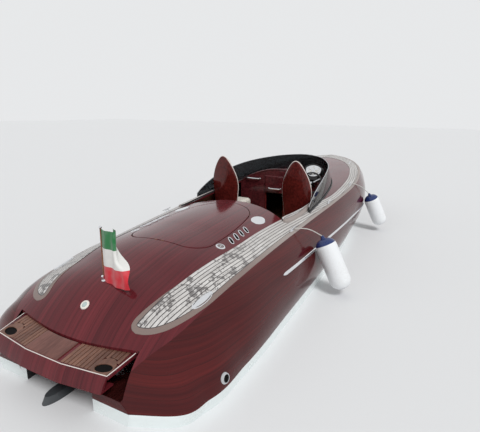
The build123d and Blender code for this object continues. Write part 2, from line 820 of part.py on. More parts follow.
with BuildPart() as steering_column:
    with BuildSketch(wheel_plane.offset(-wheel_dish - seat_gap)):
        Circle(wheel_hub_radius * 0.7)
    extrude(amount=-column_length)
    add(dashboard.part, mode=Mode.SUBTRACT)
    add(dash_cowl.part, mode=Mode.SUBTRACT)
write("steering_column", steering_column.part.solids().sort_by(Axis.X)[0])


# Swim platform, falling slightly aft, with a fascia folded down along its pointed aft edge
platform_plane = Plane(origin=(at(platform_front), 0, platform_front_z), x_dir=(1, 0, 0),
                       z_dir=(-math.sin(math.radians(platform_fall)), 0, math.cos(math.radians(platform_fall))))


def platform_outline(grow):
    front, side = -seat_gap + grow, platform_side_half + grow
    aft, aft_side = platform_aft - platform_front - grow, platform_aft_half + grow
    with BuildSketch() as outline:
        with BuildLine():
            ThreePointArc((front - 4, side), (platform_bulge - platform_front + grow, 0), (front - 4, -side))
            Polyline((front - 4, -side), (aft, -aft_side), (platform_point - platform_front - grow, 0),
                     (aft, aft_side), (front - 4, side))
        make_face()
    return outline.sketch


with BuildPart() as swim_platform:
    with BuildSketch(platform_plane.offset(-slat_height - seat_gap)):
        add(platform_outline(0))
    extrude(amount=-platform_thickness)
    with BuildSketch(platform_plane.offset(-slat_height - platform_thickness)):
        with BuildLine():
            Polyline((platform_aft - platform_front, -platform_aft_half), (platform_point - platform_front, 0),
                     (platform_aft - platform_front, platform_aft_half),
                     (platform_aft - platform_front + fascia_thickness, platform_aft_half),
                     (platform_point - platform_front + fascia_thickness, 0),
                     (platform_aft - platform_front + fascia_thickness, -platform_aft_half), close=True)
        make_face()
    extrude(amount=-fascia_drop, taper=0)
    with BuildSketch(platform_plane.offset(slat_height + 1)):
        for side in (1, -1):
            with Locations((platform_aft - platform_front + 85, side * (platform_aft_half - 75))):
                SlotOverall(fairlead_length, fairlead_width, rotation=side * 20)
    extrude(amount=-platform_thickness - 3 * slat_height, mode=Mode.SUBTRACT)
write("swim_platform", swim_platform.part)

with BuildPart() as platform_slats:
    with BuildSketch(platform_plane.offset(-slat_height)):
        add(platform_outline(-22))
    extrude(amount=slat_height)
    slat_pitch = 2 * platform_side_half / slat_count
    with BuildSketch(platform_plane.offset(2)):
        for index in range(1, slat_count):
            with Locations((-200, -platform_side_half + index * slat_pitch)):
                Rectangle(700, slat_groove)
    extrude(amount=-5, mode=Mode.SUBTRACT)
    with BuildSketch(platform_plane.offset(slat_height + 1)):
        for side in (1, -1):
            with Locations((platform_aft - platform_front + 85, side * (platform_aft_half - 75))):
                SlotOverall(fairlead_length + 8, fairlead_width + 8, rotation=side * 20)
    extrude(amount=-3 * slat_height, mode=Mode.SUBTRACT)
write("platform_slats", platform_slats.part)

def platform_under_z(from_stern):
    # Height of the board's underside.
    fall = math.radians(platform_fall)
    return platform_front_z + (from_stern - platform_front) * math.tan(fall) \
        - (slat_height + platform_thickness + 2 * seat_gap) / math.cos(fall)


with BuildPart() as platform_brackets:
    for side in (1, -1):
        with BuildSketch(Plane.XZ.offset(-side * bracket_y - bracket_width / 2)):
            with BuildLine():
                Polyline((at(bracket_heel), bracket_foot_z), (at(recess_corner), bracket_foot_z),
                         (at(recess_corner), platform_under_z(recess_corner)),
                         (at(bracket_toe), platform_under_z(bracket_toe)),
                         (at(bracket_toe), platform_under_z(bracket_toe) - bracket_toe_depth), close=True)
            make_face()
        extrude(amount=bracket_width)
    add(topsides.part, mode=Mode.SUBTRACT)
write("platform_brackets", platform_brackets.part)


# Chrome rub strips along the widest part of the side
for side_name, side in (("port", 1), ("starboard", -1)):
    with BuildPart() as rub_strip:
        runs = [strip_from + (strip_to - strip_from) * i / strip_runs for i in range(strip_runs + 1)]
        outer = [(at(x), side * (side_face_y(x, strip_z) + strip_proud)) for x in runs]
        inner = [(at(x), side * (side_face_y(x, strip_z) - 20)) for x in runs][::-1]
        with BuildSketch(Plane.XY.offset(strip_z - strip_height / 2)):
            with BuildLine():
                Polyline(*outer, *inner, close=True)
            make_face()
        extrude(amount=strip_height)
        add(topsides_full, mode=Mode.SUBTRACT)
    write(f"rub_strip_{side_name}", rub_strip.part.solids().sort_by(SortBy.VOLUME)[-1])


# Deck fittings: each stands on the deck at its own height
def fitting_plane(from_stern, y, lift=seat_gap):
    step = 40
    fall_x = math.atan2(deck_top(from_stern + step, y) - deck_top(from_stern - step, y), 2 * step)
    fall_y = math.atan2(deck_top(from_stern, y + step) - deck_top(from_stern, y - step), 2 * step)
    normal = Vector(-math.tan(fall_x), -math.tan(fall_y), 1).normalized()
    origin = Vector(at(from_stern), y, deck_top(from_stern, y)) + normal * lift
    return Plane(origin=origin, x_dir=Vector(1, 0, math.tan(fall_x)).normalized(), z_dir=normal)


with BuildPart() as louvres:
    for side in (1, -1):
        for index in range(louvre_count):
            place = fitting_plane(louvre_from + index * louvre_pitch, side * louvre_y)
            with BuildSketch(place):
                SlotOverall(louvre_length, louvre_width, rotation=90)
                SlotOverall(louvre_length - 16, louvre_width - 14, rotation=90, mode=Mode.SUBTRACT)
            extrude(amount=6)
write("louvres", louvres.part)

with BuildPart() as deck_caps:
    for side in (1, -1):
        with BuildSketch(fitting_plane(ring_cap_x, side * ring_cap_y)):
            Circle(ring_cap_radius)
        extrude(amount=6, taper=30)
        with BuildSketch(fitting_plane(oval_cap_x, side * oval_cap_y)):
            Ellipse(oval_cap_length / 2, oval_cap_width / 2)
        extrude(amount=9, taper=45)
write("deck_caps", deck_caps.part)

with BuildPart() as stern_lamp:
    with BuildSketch(fitting_plane(stern_lamp_x, 0)):
        Circle(stern_lamp_radius)
    extrude(amount=8, taper=30)
    with BuildSketch(fitting_plane(stern_lamp_x, 0, 8)):
        Circle(stern_lamp_radius * 0.5)
    extrude(amount=8, taper=30)
write("stern_lamp", stern_lamp.part)

with BuildPart() as bow_light:
    with BuildSketch(fitting_plane(bow_light_x, 0)):
        Circle(45)
    extrude(amount=14, taper=20)
    with BuildSketch(fitting_plane(bow_light_x, 0, 12)):
        Circle(14)
    extrude(amount=70)
    with BuildSketch(fitting_plane(bow_light_x, 0, 80)):
        Circle(34)
    extrude(amount=44, taper=18)
write("bow_light", bow_light.part)

with BuildPart() as cleats:
    for from_stern, half in cleat_places:
        for side in (1, -1):
            place = fitting_plane(from_stern, side * half, cleat_lift)
            with BuildSketch(place):
                SlotOverall(cleat_foot, cleat_bar + 6)
            extrude(amount=cleat_height - 16)
            with BuildSketch(place.offset(cleat_height - 16)):
                SlotOverall(cleat_length, cleat_bar)
            extrude(amount=16)
    for side in (1, -1):
        place = fitting_plane(flush_cleat_x, side * flush_cleat_y)
        with BuildSketch(place):
            SlotOverall(flush_cleat_length, flush_cleat_width)
        extrude(amount=6)
        with BuildSketch(place.offset(6)):
            SlotOverall(flush_cleat_length / 2, flush_cleat_bar)
        extrude(amount=12)
write("cleats", cleats.part)

with BuildPart() as exhaust_outlets:
    for side in (1, -1):
        y = side * (side_face_y(exhaust_x, exhaust_z) - 12)
        with BuildSketch(Plane(origin=(at(exhaust_x), y, exhaust_z), x_dir=(1, 0, 0),
                               z_dir=(-0.25, side, -0.12))):
            Circle(exhaust_radius)
            Circle(exhaust_radius - 14, mode=Mode.SUBTRACT)
        extrude(amount=48)
    add(topsides_full, mode=Mode.SUBTRACT)
write("exhaust_outlets", exhaust_outlets.part)

staff_foot_z = deck_top(staff_x, 0)
with BuildPart() as flagstaff:
    with BuildSketch(fitting_plane(staff_x, 0)):
        Circle(24)
    extrude(amount=20, taper=15)
    with BuildSketch(Plane.XY.offset(staff_foot_z + 6)):
        with Locations((at(staff_x), 0)):
            Circle(staff_radius)
    extrude(amount=staff_top_z - staff_foot_z - 6)
    with Locations((at(staff_x), 0, staff_top_z)):
        Sphere(14)
write("flagstaff", flagstaff.part)

with BuildPart() as flag:
    with BuildSketch(Plane.XZ.offset(flag_thickness / 2)):
        with BuildLine():
            Polyline((at(staff_x + staff_radius + seat_gap), flag_top_z),
                     (at(staff_x + flag_width), flag_top_z - 50),
                     (at(staff_x + flag_width + 10), flag_bottom_z + 60),
                     (at(staff_x + flag_width * 0.6), flag_bottom_z),
                     (at(staff_x + staff_radius + 5), flag_bottom_z + 90), close=True)
        make_face()
    extrude(amount=-flag_thickness)
write("flag", flag.part)

for name, top_x, top_z, foot_x, foot_z, lean_deg, cleat_index in fender_rows:
    # The axis leans outward and passes the rub strip at the fender's own radius.
    lean = math.radians(lean_deg)
    strip_x = top_x + (foot_x - top_x) * (top_z - strip_z) / (top_z - foot_z)
    side_y = max(side_face_y(x, strip_z) for x in (top_x, strip_x, foot_x)) + strip_proud
    axis_y = side_y + (fender_radius + strip_height / 2 * math.sin(lean) + seat_gap) / math.cos(lean)
    start = Vector(at(top_x), -axis_y + (top_z - strip_z) * math.tan(lean), top_z)
    foot = Vector(at(foot_x), -axis_y + (foot_z - strip_z) * math.tan(lean), foot_z)
    down = (foot - start).normalized()
    length = (foot - start).length
    with BuildPart() as fender:
        for along, radius in ((0, 0.55), (fender_taper, 1), (length - fender_taper, 1), (length, 0.55)):
            with BuildSketch(Plane(origin=start + down * along, x_dir=(0, 1, 0), z_dir=down)):
                Circle(fender_radius * radius)
        loft(ruled=True)
        with BuildSketch(Plane(origin=start - down * fender_neck, x_dir=(0, 1, 0), z_dir=down)):
            Circle(fender_neck_radius)
        extrude(amount=fender_neck + 5)
    write(name, fender.part)

    eye = start - down * (fender_neck + seat_gap)
    cleat_x, cleat_y = cleat_places[cleat_index]
    cleat = fitting_plane(cleat_x, -cleat_y)
    beside = cleat_bar / 2 + line_radius + seat_gap
    tie = cleat.from_local_coords((24, -beside, cleat_height - 8))
    over_edge = Vector(tie.X * 0.5 + eye.X * 0.5, -side_face_y(cleat_x, top_z + 60) - 58, top_z + 115)
    with BuildPart() as fender_line:
        with BuildLine():
            line_path = FilletPolyline(tie, over_edge, eye - down * 60, eye, radius=24)
        with BuildSketch(Plane(origin=line_path @ 0, z_dir=line_path % 0)):
            Circle(line_radius)
        sweep(path=line_path)
    write(f"{name}_line", fender_line.part)


# Below the deck and the water
with BuildPart() as engine:
    with BuildSketch(Plane.XY.offset(engine_z[0])):
        with Locations((at((engine_x[0] + engine_x[1]) / 2), 0)):
            Rectangle(engine_x[1] - engine_x[0], engine_width)
    extrude(amount=engine_z[1] - engine_z[0])
write("engine", engine.part)

with BuildPart() as engine_bearers:
    with BuildSketch(Plane.XY.offset(-700)):
        for side in (1, -1):
            with Locations((at((engine_x[0] + engine_x[1]) / 2), side * (engine_width / 2 - 50))):
                Rectangle(engine_x[1] - engine_x[0] + 300, 60)
    extrude(amount=700 + engine_z[0])
    add(interior, mode=Mode.INTERSECT)
write("engine_bearers", engine_bearers.part)

with BuildPart() as gimbal_housing:
    with BuildSketch(Plane.YZ.offset(at(slot_depth))):
        with Locations((0, drive_pivot_z)):
            RectangleRounded(300, 330, 60)
    extrude(amount=-45)
    with BuildSketch(Plane.YZ.offset(at(slot_depth - 45))):
        with Locations((0, drive_pivot_z + lug_offset), (0, drive_pivot_z - lug_offset)):
            Rectangle(90, lug_height)
    extrude(amount=-(slot_depth - 45 - drive_pivot_x + 34))
    with BuildSketch(Plane.XY.offset(drive_pivot_z - 200)):
        with Locations((at(drive_pivot_x), 0)):
            Circle(pivot_pin_radius)
    extrude(amount=400, mode=Mode.SUBTRACT)
write("gimbal_housing", gimbal_housing.part)

with BuildPart() as drive_leg:
    with BuildSketch(Plane.XY.offset(drive_pivot_z - 86)):
        with Locations((at(drive_pivot_x), 0)):
            Circle(38)
    extrude(amount=172)
    with BuildSketch(Plane.XY.offset(drive_pivot_z - 170)):
        with Locations((at(drive_pivot_x), 0)):
            Circle(pivot_pin_radius - pin_fit)
    extrude(amount=340)
    for z, front, back, half in leg_rows:
        with BuildSketch(Plane.XY.offset(z)):
            with Locations((at((front + back) / 2), 0)):
                Ellipse((front - back) / 2, half)
    loft(ruled=True)
    with BuildSketch(Plane.XY.offset(cavitation_z)):
        with Locations((at(drive_pivot_x - 350), 0)):
            SlotOverall(640, 220)
    extrude(amount=12)
    with BuildSketch(Plane.YZ.offset(at(torpedo_x[0]))):
        with Locations((0, propeller_z)):
            Circle(64)
    extrude(amount=torpedo_x[1] - torpedo_x[0])
    with BuildSketch(Plane.YZ.offset(at(torpedo_x[1]))):
        with Locations((0, propeller_z)):
            Circle(64)
    extrude(amount=110, taper=28)
    with BuildSketch(Plane.XZ.offset(-7)):
        with BuildLine():
            Polyline((at(-60), propeller_z), (at(-190), propeller_z - 230), (at(-110), propeller_z - 250),
                     (at(60), propeller_z), close=True)
        make_face()
    extrude(amount=14)
    with BuildSketch(Plane.YZ.offset(at(torpedo_x[0] - 1))):
        with Locations((0, propeller_z)):
            Circle(shaft_radius + pin_fit)
    extrude(amount=60, mode=Mode.SUBTRACT)
write("drive_leg", drive_leg.part)

with BuildPart() as propeller:
    hub_aft = torpedo_x[0] - shaft_gap - hub_length
    with BuildSketch(Plane.YZ.offset(at(hub_aft))):
        with Locations((0, propeller_z)):
            Circle(hub_radius)
    extrude(amount=hub_length)
    with BuildSketch(Plane.YZ.offset(at(hub_aft + hub_length - 2))):
        with Locations((0, propeller_z)):
            Circle(shaft_radius)
    extrude(amount=shaft_gap + 50)
    for index in range(blade_count):
        around = 2 * math.pi * index / blade_count
        out = Vector(0, math.sin(around), math.cos(around))
        across = Vector(1, 0, 0).cross(out)
        for radius, chord, pitch_deg, thick in blade_rows:
            turn = math.radians(pitch_deg)
            chord_dir = Vector(1, 0, 0) * math.sin(turn) + across * math.cos(turn)
            with BuildSketch(Plane(origin=Vector(at(hub_aft + hub_length / 2), 0, propeller_z) + out * radius,
                                   x_dir=chord_dir, z_dir=out)):
                Ellipse(chord / 2, thick / 2)
        loft()
write("propeller", propeller.part)
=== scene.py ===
import math

import bmesh
import bpy
import numpy as np
from mathutils import Matrix


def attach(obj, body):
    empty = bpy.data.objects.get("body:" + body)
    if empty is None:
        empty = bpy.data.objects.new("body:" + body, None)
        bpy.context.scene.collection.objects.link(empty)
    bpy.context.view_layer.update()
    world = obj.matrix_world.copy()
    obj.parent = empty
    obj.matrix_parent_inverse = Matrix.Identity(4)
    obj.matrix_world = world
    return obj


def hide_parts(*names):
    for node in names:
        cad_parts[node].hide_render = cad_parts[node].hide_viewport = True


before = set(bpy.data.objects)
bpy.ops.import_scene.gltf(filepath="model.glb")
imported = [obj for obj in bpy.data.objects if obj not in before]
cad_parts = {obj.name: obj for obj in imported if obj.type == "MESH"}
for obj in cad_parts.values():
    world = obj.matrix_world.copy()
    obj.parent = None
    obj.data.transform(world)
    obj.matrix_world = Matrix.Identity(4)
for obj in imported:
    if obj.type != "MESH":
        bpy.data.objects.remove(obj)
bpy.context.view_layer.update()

# Mahogany runabout. Plan places are metres from the stern; buildPiece shifts them to amidships.
halfLength = 4.2
deckWall = 0.024

# Columns: from the stern, keel z, chine y z, stripe y z, sheer y z, the side's fall in degrees, crown z
stations = np.array([(0, -300, 700, -130, 745, 110, 570, 225, 22, 280),
                     (130, -430, 960, -130, 1040, 118, 700, 395, 14, 450),
                     (400, -480, 1120, -130, 1190, 125, 850, 535, 22, 695),
                     (900, -500, 1190, -125, 1240, 130, 925, 650, 27, 860),
                     (1900, -515, 1215, -115, 1250, 140, 965, 730, 30, 965),
                     (3300, -520, 1210, -90, 1248, 152, 1035, 805, 36, 1005),
                     (4700, -520, 1160, -50, 1215, 168, 1120, 885, 47, 1030),
                     (5800, -490, 1020, -20, 1115, 200, 1125, 950, 47, 1055),
                     (6700, -400, 850, 20, 945, 250, 1000, 1025, 49, 1095),
                     (7400, -200, 590, 140, 690, 330, 810, 1080, 52, 1135),
                     (7900, 60, 320, 330, 400, 450, 545, 1125, 58, 1160),
                     (8200, 400, 120, 560, 150, 650, 270, 1152, 66, 1175),
                     (8310, 700, 40, 760, 48, 810, 90, 1165, 74, 1181), ]) * np.array([1e-3] * 8 + [1, 1e-3])
stemFrom, bowEnd = 8.24, 8.31
bothSides = (("port", 1), ("starboard", -1))
mirror = np.array([1, -1])


def asPoints(x, y, z):
    # Three arrays, spread to one shape and set side by side as points.
    return np.stack(np.broadcast_arrays(x, y, z), -1)


def weighedSlopes(places, values):
    # Slope at each row: the slopes of the spans on its two sides, each weighed by the other span's length.
    runs = np.diff(places)
    steep = np.diff(values, axis=0) / runs[:, None]
    inner = (steep[:-1] * runs[1:, None] + steep[1:] * runs[:-1, None]) / (runs[1:] + runs[:-1])[:, None]
    return np.concatenate([steep[:1], inner, steep[-1:]])


def curveThrough(places, values, wanted):
    # Smooth curve through a table: between two rows, the cubic that keeps the value and slope of both.
    index = np.clip(np.searchsorted(places, wanted, side="right") - 1, 0, len(places) - 2)
    slopes = weighedSlopes(places, values)
    span = (places[index + 1] - places[index])[:, None]
    t = (wanted - places[index])[:, None] / span
    low, high = values[index], values[index + 1]
    return (low + (high - low) * (3 * t**2 - 2 * t**3) + (t**3 - 2 * t**2 + t) * span * slopes[index]
            + (t**3 - t**2) * span * slopes[index + 1])


def pathThrough(points, count=None, shares=None):
    # Points at even steps, or at given shares of the length, along the smooth curve through a few points.
    points = np.asarray(points, float)
    chord = np.concatenate([[0], np.cumsum(np.linalg.norm(np.diff(points, axis=0), axis=1))])
    fine = curveThrough(chord, points, np.linspace(0, chord[-1], 900))
    length = np.concatenate([[0], np.cumsum(np.linalg.norm(np.diff(fine, axis=0), axis=1))])
    wanted = length[-1] * (np.linspace(0, 1, count) if shares is None else np.asarray(shares))
    return np.stack([np.interp(wanted, length, fine[:, i]) for i in range(points.shape[1])], -1)


def arcThrough(a, b, c, count):
    # Even steps along the circle through three plan points: its centre is as far from each of them.
    a, b, c = (np.asarray(p, float) for p in (a, b, c))
    sides = 2 * np.array([b - a, c - a])
    centre = np.linalg.solve(sides, [b @ b - a @ a, c @ c - a @ a])
    angles = np.unwrap([math.atan2(*(p - centre)[::-1]) for p in (a, b, c)])
    turn = np.linspace(angles[0], angles[2], count)
    return centre + np.linalg.norm(a - centre) * np.stack([np.cos(turn), np.sin(turn)], -1)


def hullRow(x):
    # The ten station columns at any places from the stern; the stem's last length narrows as an ellipse.
    x = np.asarray(x, float)
    row = curveThrough(stations[:, 0], stations, x.ravel())
    narrow = np.sqrt(1 - np.clip((x.ravel() - stemFrom) / (bowEnd - stemFrom), 0, 1)**2)
    row[:, [2, 4, 6]] *= narrow[:, None]
    row[:, 9] = row[:, 7] + (row[:, 9] - row[:, 7]) * narrow
    return row.T.reshape(10, *x.shape)


def deckCircle(x):
    # Radius of the crowned deck's arc, which joins both sheers over the crown height.
    row = hullRow(x)
    rise = np.maximum(row[9] - row[7], 1e-5)
    return row[6], row[7], row[9], (row[6]**2 + rise**2) / (2 * rise)


def deckHeight(x, y):
    # The crowned deck: its circle's centre height plus the square root of radius squared less y squared.
    x, y = np.broadcast_arrays(np.asarray(x, float), np.asarray(y, float))
    sheerY, sheerZ, crown, radius = deckCircle(x)
    return crown - radius + np.sqrt(np.maximum(radius**2 - np.minimum(abs(y), sheerY)**2, 0))


def sheerHalf(x):
    # Half-breadth of the deck's edge, the sheer column of the table.
    return hullRow(x)[6]


def sideCircle(x):
    # The side is an arc from the sheer down to the stripe. It leaves the deck without a corner near the stern
    # and at the station's own fall further forward.
    row = hullRow(x)
    sheerY, sheerZ, crown, radius = deckCircle(x)
    deckFall = np.arcsin(np.clip(sheerY / radius, 0, 1))
    share = np.clip((np.asarray(x, float) - 1) / 2.4, 0, 1)
    fall = deckFall + (np.radians(row[8]) - deckFall) * share**2 * (3 - 2 * share)
    drop, reach = sheerZ - row[5], row[4] - sheerY
    turn = np.arctan2(drop, reach) - fall
    side = np.hypot(drop, reach) / (2 * np.sin(turn))
    return sheerY - side * np.sin(fall), sheerZ - side * np.cos(fall), side, np.pi / 2 - fall, 2 * turn


def sideHalf(x, z):
    # Half-breadth of the side at a height.
    centreY, centreZ, radius = sideCircle(x)[:3]
    return centreY + np.sqrt(np.maximum(radius**2 - (z - centreZ)**2, 0))


def gridQuads(rows, columns, closedRows=False, closedColumns=False):
    # Each cell of the grid as four corner numbers; a closed grid joins its last row or column to the first.
    r, c = np.meshgrid(np.arange(rows - (not closedRows)), np.arange(columns - (not closedColumns)),
                       indexing="ij")
    nextR, nextC = (r + 1) % rows, (c + 1) % columns
    return np.stack([r * columns + c, r * columns + nextC, nextR * columns + nextC, nextR * columns + c],
                    -1).reshape(-1, 4)


def patch(grid, closedRows=False, closedColumns=False, uv=None, part=0):
    # One grid of points with its faces, its UV and the number of its material.
    rows, columns = grid.shape[:2]
    uv = np.zeros((rows * columns, 2)) if uv is None else np.asarray(uv).reshape(-1, 2)
    return {"points": grid.reshape(-1, 3), "quads": gridQuads(rows, columns, closedRows, closedColumns),
            "uv": uv, "part": part}


def buildPiece(name, patches, materials, body="hull", replaced=(), weld=2e-5, crease=35, shift=True):
    # Joins the patches into one mesh, closes their seams and turns the faces of each closed shell outwards.
    materials = materials if isinstance(materials, (list, tuple)) else [materials]
    counts = [len(p["points"]) for p in patches]
    starts = np.concatenate([[0], np.cumsum(counts)[:-1]])
    points = np.concatenate([p["points"] for p in patches]).astype(np.float32)
    if shift:
        points = points - np.array([halfLength, 0, 0], np.float32)
    quads = np.concatenate([p["quads"] + start for p, start in zip(patches, starts)])
    uv = np.concatenate([p["uv"] for p in patches])
    part = np.concatenate([np.full(len(p["quads"]), p["part"]) for p in patches])
    mesh = bpy.data.meshes.new(name)
    mesh.vertices.add(len(points))
    mesh.vertices.foreach_set("co", points.ravel())
    mesh.loops.add(quads.size)
    mesh.loops.foreach_set("vertex_index", quads.ravel().astype(np.int32))
    mesh.polygons.add(len(quads))
    mesh.polygons.foreach_set("loop_start", np.arange(0, quads.size, 4, dtype=np.int32))
    mesh.polygons.foreach_set("material_index", part.astype(np.int32))
    mesh.uv_layers.new(name="UVMap").data.foreach_set("uv", uv[quads.ravel()].astype(np.float32).ravel())
    mesh.update(calc_edges=True)
    shape = bmesh.new()
    shape.from_mesh(mesh)
    bmesh.ops.remove_doubles(shape, verts=shape.verts, dist=weld)
    bmesh.ops.recalc_face_normals(shape, faces=shape.faces)
    shape.to_mesh(mesh)
    shape.free()
    mesh.polygons.foreach_set("use_smooth", np.ones(len(mesh.polygons), bool))
    mesh.set_sharp_from_angle(angle=math.radians(crease))
    for material in materials:
        mesh.materials.append(material)
    piece = bpy.data.objects.new(name, mesh)
    bpy.context.scene.collection.objects.link(piece)
    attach(piece, body)
    if replaced:
        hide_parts(*replaced)
    return piece


def shell(front, back, closedRows=False, part=0, uv=None):
    # A wall: its seen face, its hidden face, and the rims that join their edges.
    patches = [patch(front, closedRows, part=part, uv=uv), patch(back, closedRows, part=part, uv=uv)]
    for side in (0, -1):
        rim = np.stack([front[:, side], back[:, side]], 1)
        patches.append(patch(rim, closedRows, part=part, uv=np.full((*rim.shape[:2], 2), 0.2)))
        if not closedRows:
            patches.append(patch(np.stack([front[side], back[side]], 1), part=part))
    return patches


def slab(edgeA, edgeB, place, thickness, radius, across=8, along=40, roundEnds=(True, True), part=0, rim=3):
    # Lines ruled from edge A to edge B. The rim is a quarter round: at angle a its point lies
    # radius (1 - cos a) inside the edge and radius (1 - sin a) below the top. place turns plan places and
    # depths into points.
    angles = np.linspace(0, np.pi / 2, rim + 1)
    inset, sink = 1 - np.cos(angles), 1 - np.sin(angles)
    share = np.linspace(0, 1, len(edgeA))
    middle = (edgeA + edgeB) / 2
    length = np.linalg.norm(np.diff(middle, axis=0), axis=1).sum() + 1e-9
    endInset = np.concatenate([[0], inset]) * min(radius / length, 0.3)
    endDepth = np.concatenate([[thickness], sink * radius])
    starts = endInset if roundEnds[0] else np.array([0, 0])
    ends = endInset if roundEnds[1] else np.array([0, 0])
    startDepth = endDepth if roundEnds[0] else np.array([thickness, 0])
    finishDepth = endDepth if roundEnds[1] else np.array([thickness, 0])
    level = np.linspace(starts[-1], 1 - ends[-1], along + 1)[1:-1]
    rows = np.concatenate([starts, level, 1 - ends[::-1]])
    rowDepth = np.concatenate([startDepth, np.zeros(len(level)), finishDepth[::-1]])
    a = np.stack([np.interp(rows, share, edgeA[:, i]) for i in (0, 1)], -1)
    b = np.stack([np.interp(rows, share, edgeB[:, i]) for i in (0, 1)], -1)
    width = np.maximum(np.linalg.norm(b - a, axis=1), 1e-7)
    local = np.minimum(radius, 0.45 * width)
    near = np.concatenate([[0], inset])[None] * (local / width)[:, None]
    nearDepth = np.concatenate([np.full((len(rows), 1), thickness), sink[None] * local[:, None]], 1)
    centre = near[:, -1:] + (1 - 2 * near[:, -1:]) * np.linspace(0, 1, across + 1)[None, 1:-1]
    columns = np.concatenate([near, centre, 1 - near[:, ::-1]], 1)
    columnDepth = np.concatenate([nearDepth, np.zeros_like(centre), nearDepth[:, ::-1]], 1)
    depth = np.minimum(np.maximum(columnDepth, rowDepth[:, None]), thickness)
    plan = a[:, None] * (1 - columns[..., None]) + b[:, None] * columns[..., None]
    uv = np.stack([columns * width[:, None], (1 - columns) * width[:, None]], -1)
    return [patch(place(plan, depth), uv=uv, part=part),
            patch(place(plan, np.full_like(depth, thickness)), uv=uv, part=part)]


def tube(path, radius, sides=12, upright=(0, 0, 1), closed=False, lobes=None, part=0, flat=1.0):
    # A circle carried along a path and set square to it; upright is a direction that the path never takes.
    # lobes adds a share of the radius at each step and angle. Open ends close in half a ball.
    path = np.asarray(path, float)
    radius = np.broadcast_to(np.asarray(radius, float), len(path)).copy()
    ahead = np.gradient(path, axis=0)
    if closed:
        ahead = np.roll(path, -1, 0) - np.roll(path, 1, 0)
    ahead /= np.linalg.norm(ahead, axis=1)[:, None]
    if not closed:
        turn = np.linspace(0, np.pi / 2, 5)[:-1]
        foot = path[0] - ahead[0] * (radius[0] * np.cos(turn))[:, None]
        head = path[-1] + ahead[-1] * (radius[-1] * np.cos(turn))[::-1, None]
        path = np.concatenate([foot, path, head])
        radius = np.concatenate([radius[0] * np.sin(turn), radius, radius[-1] * np.sin(turn)[::-1]])
        ahead = np.concatenate([np.repeat(ahead[:1], 4, 0), ahead, np.repeat(ahead[-1:], 4, 0)])
    sideways = np.cross(ahead, np.asarray(upright, float))
    sideways /= np.linalg.norm(sideways, axis=1)[:, None]
    over = np.cross(sideways, ahead)
    angle = np.linspace(0, 2 * np.pi, sides, endpoint=False)
    size = np.ones((len(path), sides)) if lobes is None else 1 + lobes(np.arange(len(path))[:, None],
                                                                       angle[None])
    ring = (sideways[:, None] * np.cos(angle)[None, :, None]
            + over[:, None] * flat * np.sin(angle)[None, :, None])
    grid = path[:, None] + ring * (radius[:, None] * size)[..., None]
    return patch(grid, closed, True, part=part)


def turned(profile, origin, axis=(0, 0, 1), sides=32, sideAxis=(1, 0, 0), stretch=(1, 1), part=0):
    # A profile of radius and height turned about an axis; stretch makes the circle an oval.
    axis = np.asarray(axis, float) / np.linalg.norm(axis)
    first = np.asarray(sideAxis, float) - axis * np.dot(axis, sideAxis)
    first /= np.linalg.norm(first)
    second = np.cross(axis, first)
    profile = np.asarray(profile, float)
    angle = np.linspace(0, 2 * np.pi, sides, endpoint=False)
    around = (first[None] * np.cos(angle)[:, None] * stretch[0]
              + second[None] * np.sin(angle)[:, None] * stretch[1])
    grid = (np.asarray(origin, float) + profile[:, 0, None, None] * around[None]
            + profile[:, 1, None, None] * axis)
    return patch(grid, False, True, part=part)


def roundedProfile(corners, steps=4):
    # Corner points (radius, height, rounding): each corner becomes a short curve between the places at the
    # rounding's distance on its two runs: start (1 - t)^2 + corner 2t (1 - t) + end t^2.
    corners = np.asarray(corners, float)
    points = [corners[:1, :2]]
    t = np.linspace(0, 1, steps)[:, None]
    for before, corner, after in zip(corners[:-2], corners[1:-1], corners[2:]):
        if corner[2] == 0:
            points.append(corner[None, :2])
            continue
        into, out = before[:2] - corner[:2], after[:2] - corner[:2]
        start = corner[:2] + into / np.linalg.norm(into) * min(corner[2], np.linalg.norm(into) / 2)
        end = corner[:2] + out / np.linalg.norm(out) * min(corner[2], np.linalg.norm(out) / 2)
        points.append(start * (1 - t)**2 + corner[:2] * 2 * t * (1 - t) + end * t**2)
    points.append(corners[-1:, :2])
    return np.concatenate(points)


def lathe(corners, *where, **rest):
    # The turned shape of a rounded profile.
    return turned(roundedProfile(corners), *where, **rest)


def onDeck(lift=0.0):
    # Puts plan places on the deck: z is the deck's height plus the lift, less the depth.
    def place(plan, depth):
        x, y = plan[..., 0], plan[..., 1]
        return np.stack([x, y, deckHeight(x, y) + lift - depth], -1)
    return place


def deckFrame(x, y, lift=0.0):
    # Origin, forward, sideways and outward directions of the deck at a plan place.
    step = 0.03
    slopeX = (deckHeight(x + step, y) - deckHeight(x - step, y)) / (2 * step)
    slopeY = (deckHeight(x, y + step) - deckHeight(x, y - step)) / (2 * step)
    out = np.array([-slopeX, -slopeY, 1.0])
    out /= np.linalg.norm(out)
    ahead = np.array([1.0, 0, slopeX])
    ahead /= np.linalg.norm(ahead)
    return np.array([x, y, deckHeight(x, y)]) + out * lift, ahead, np.cross(out, ahead), out


print("helpers ready")


# Node groups: each puts out colours, masks, values and heights for the materials below.
def addNode(tree, kind, inputs=(), **settings):
    # A shader node: a given socket is linked to its input, and a given value is set there.
    made = tree.nodes.new(kind)
    for key, value in settings.items():
        setattr(made, key, value)
    for key, value in dict(inputs).items():
        if isinstance(value, bpy.types.NodeSocket):
            tree.links.new(value, made.inputs[key])
        else:
            made.inputs[key].default_value = value
    return made


def mathNode(tree, operation, first, second=0.0, third=0.0):
    # One sum of up to three values; the operation's name says which.
    return addNode(tree, "ShaderNodeMath", {0: first, 1: second, 2: third}, operation=operation).outputs[0]


def product(tree, first, second):
    # first times second
    return mathNode(tree, "MULTIPLY", first, second)


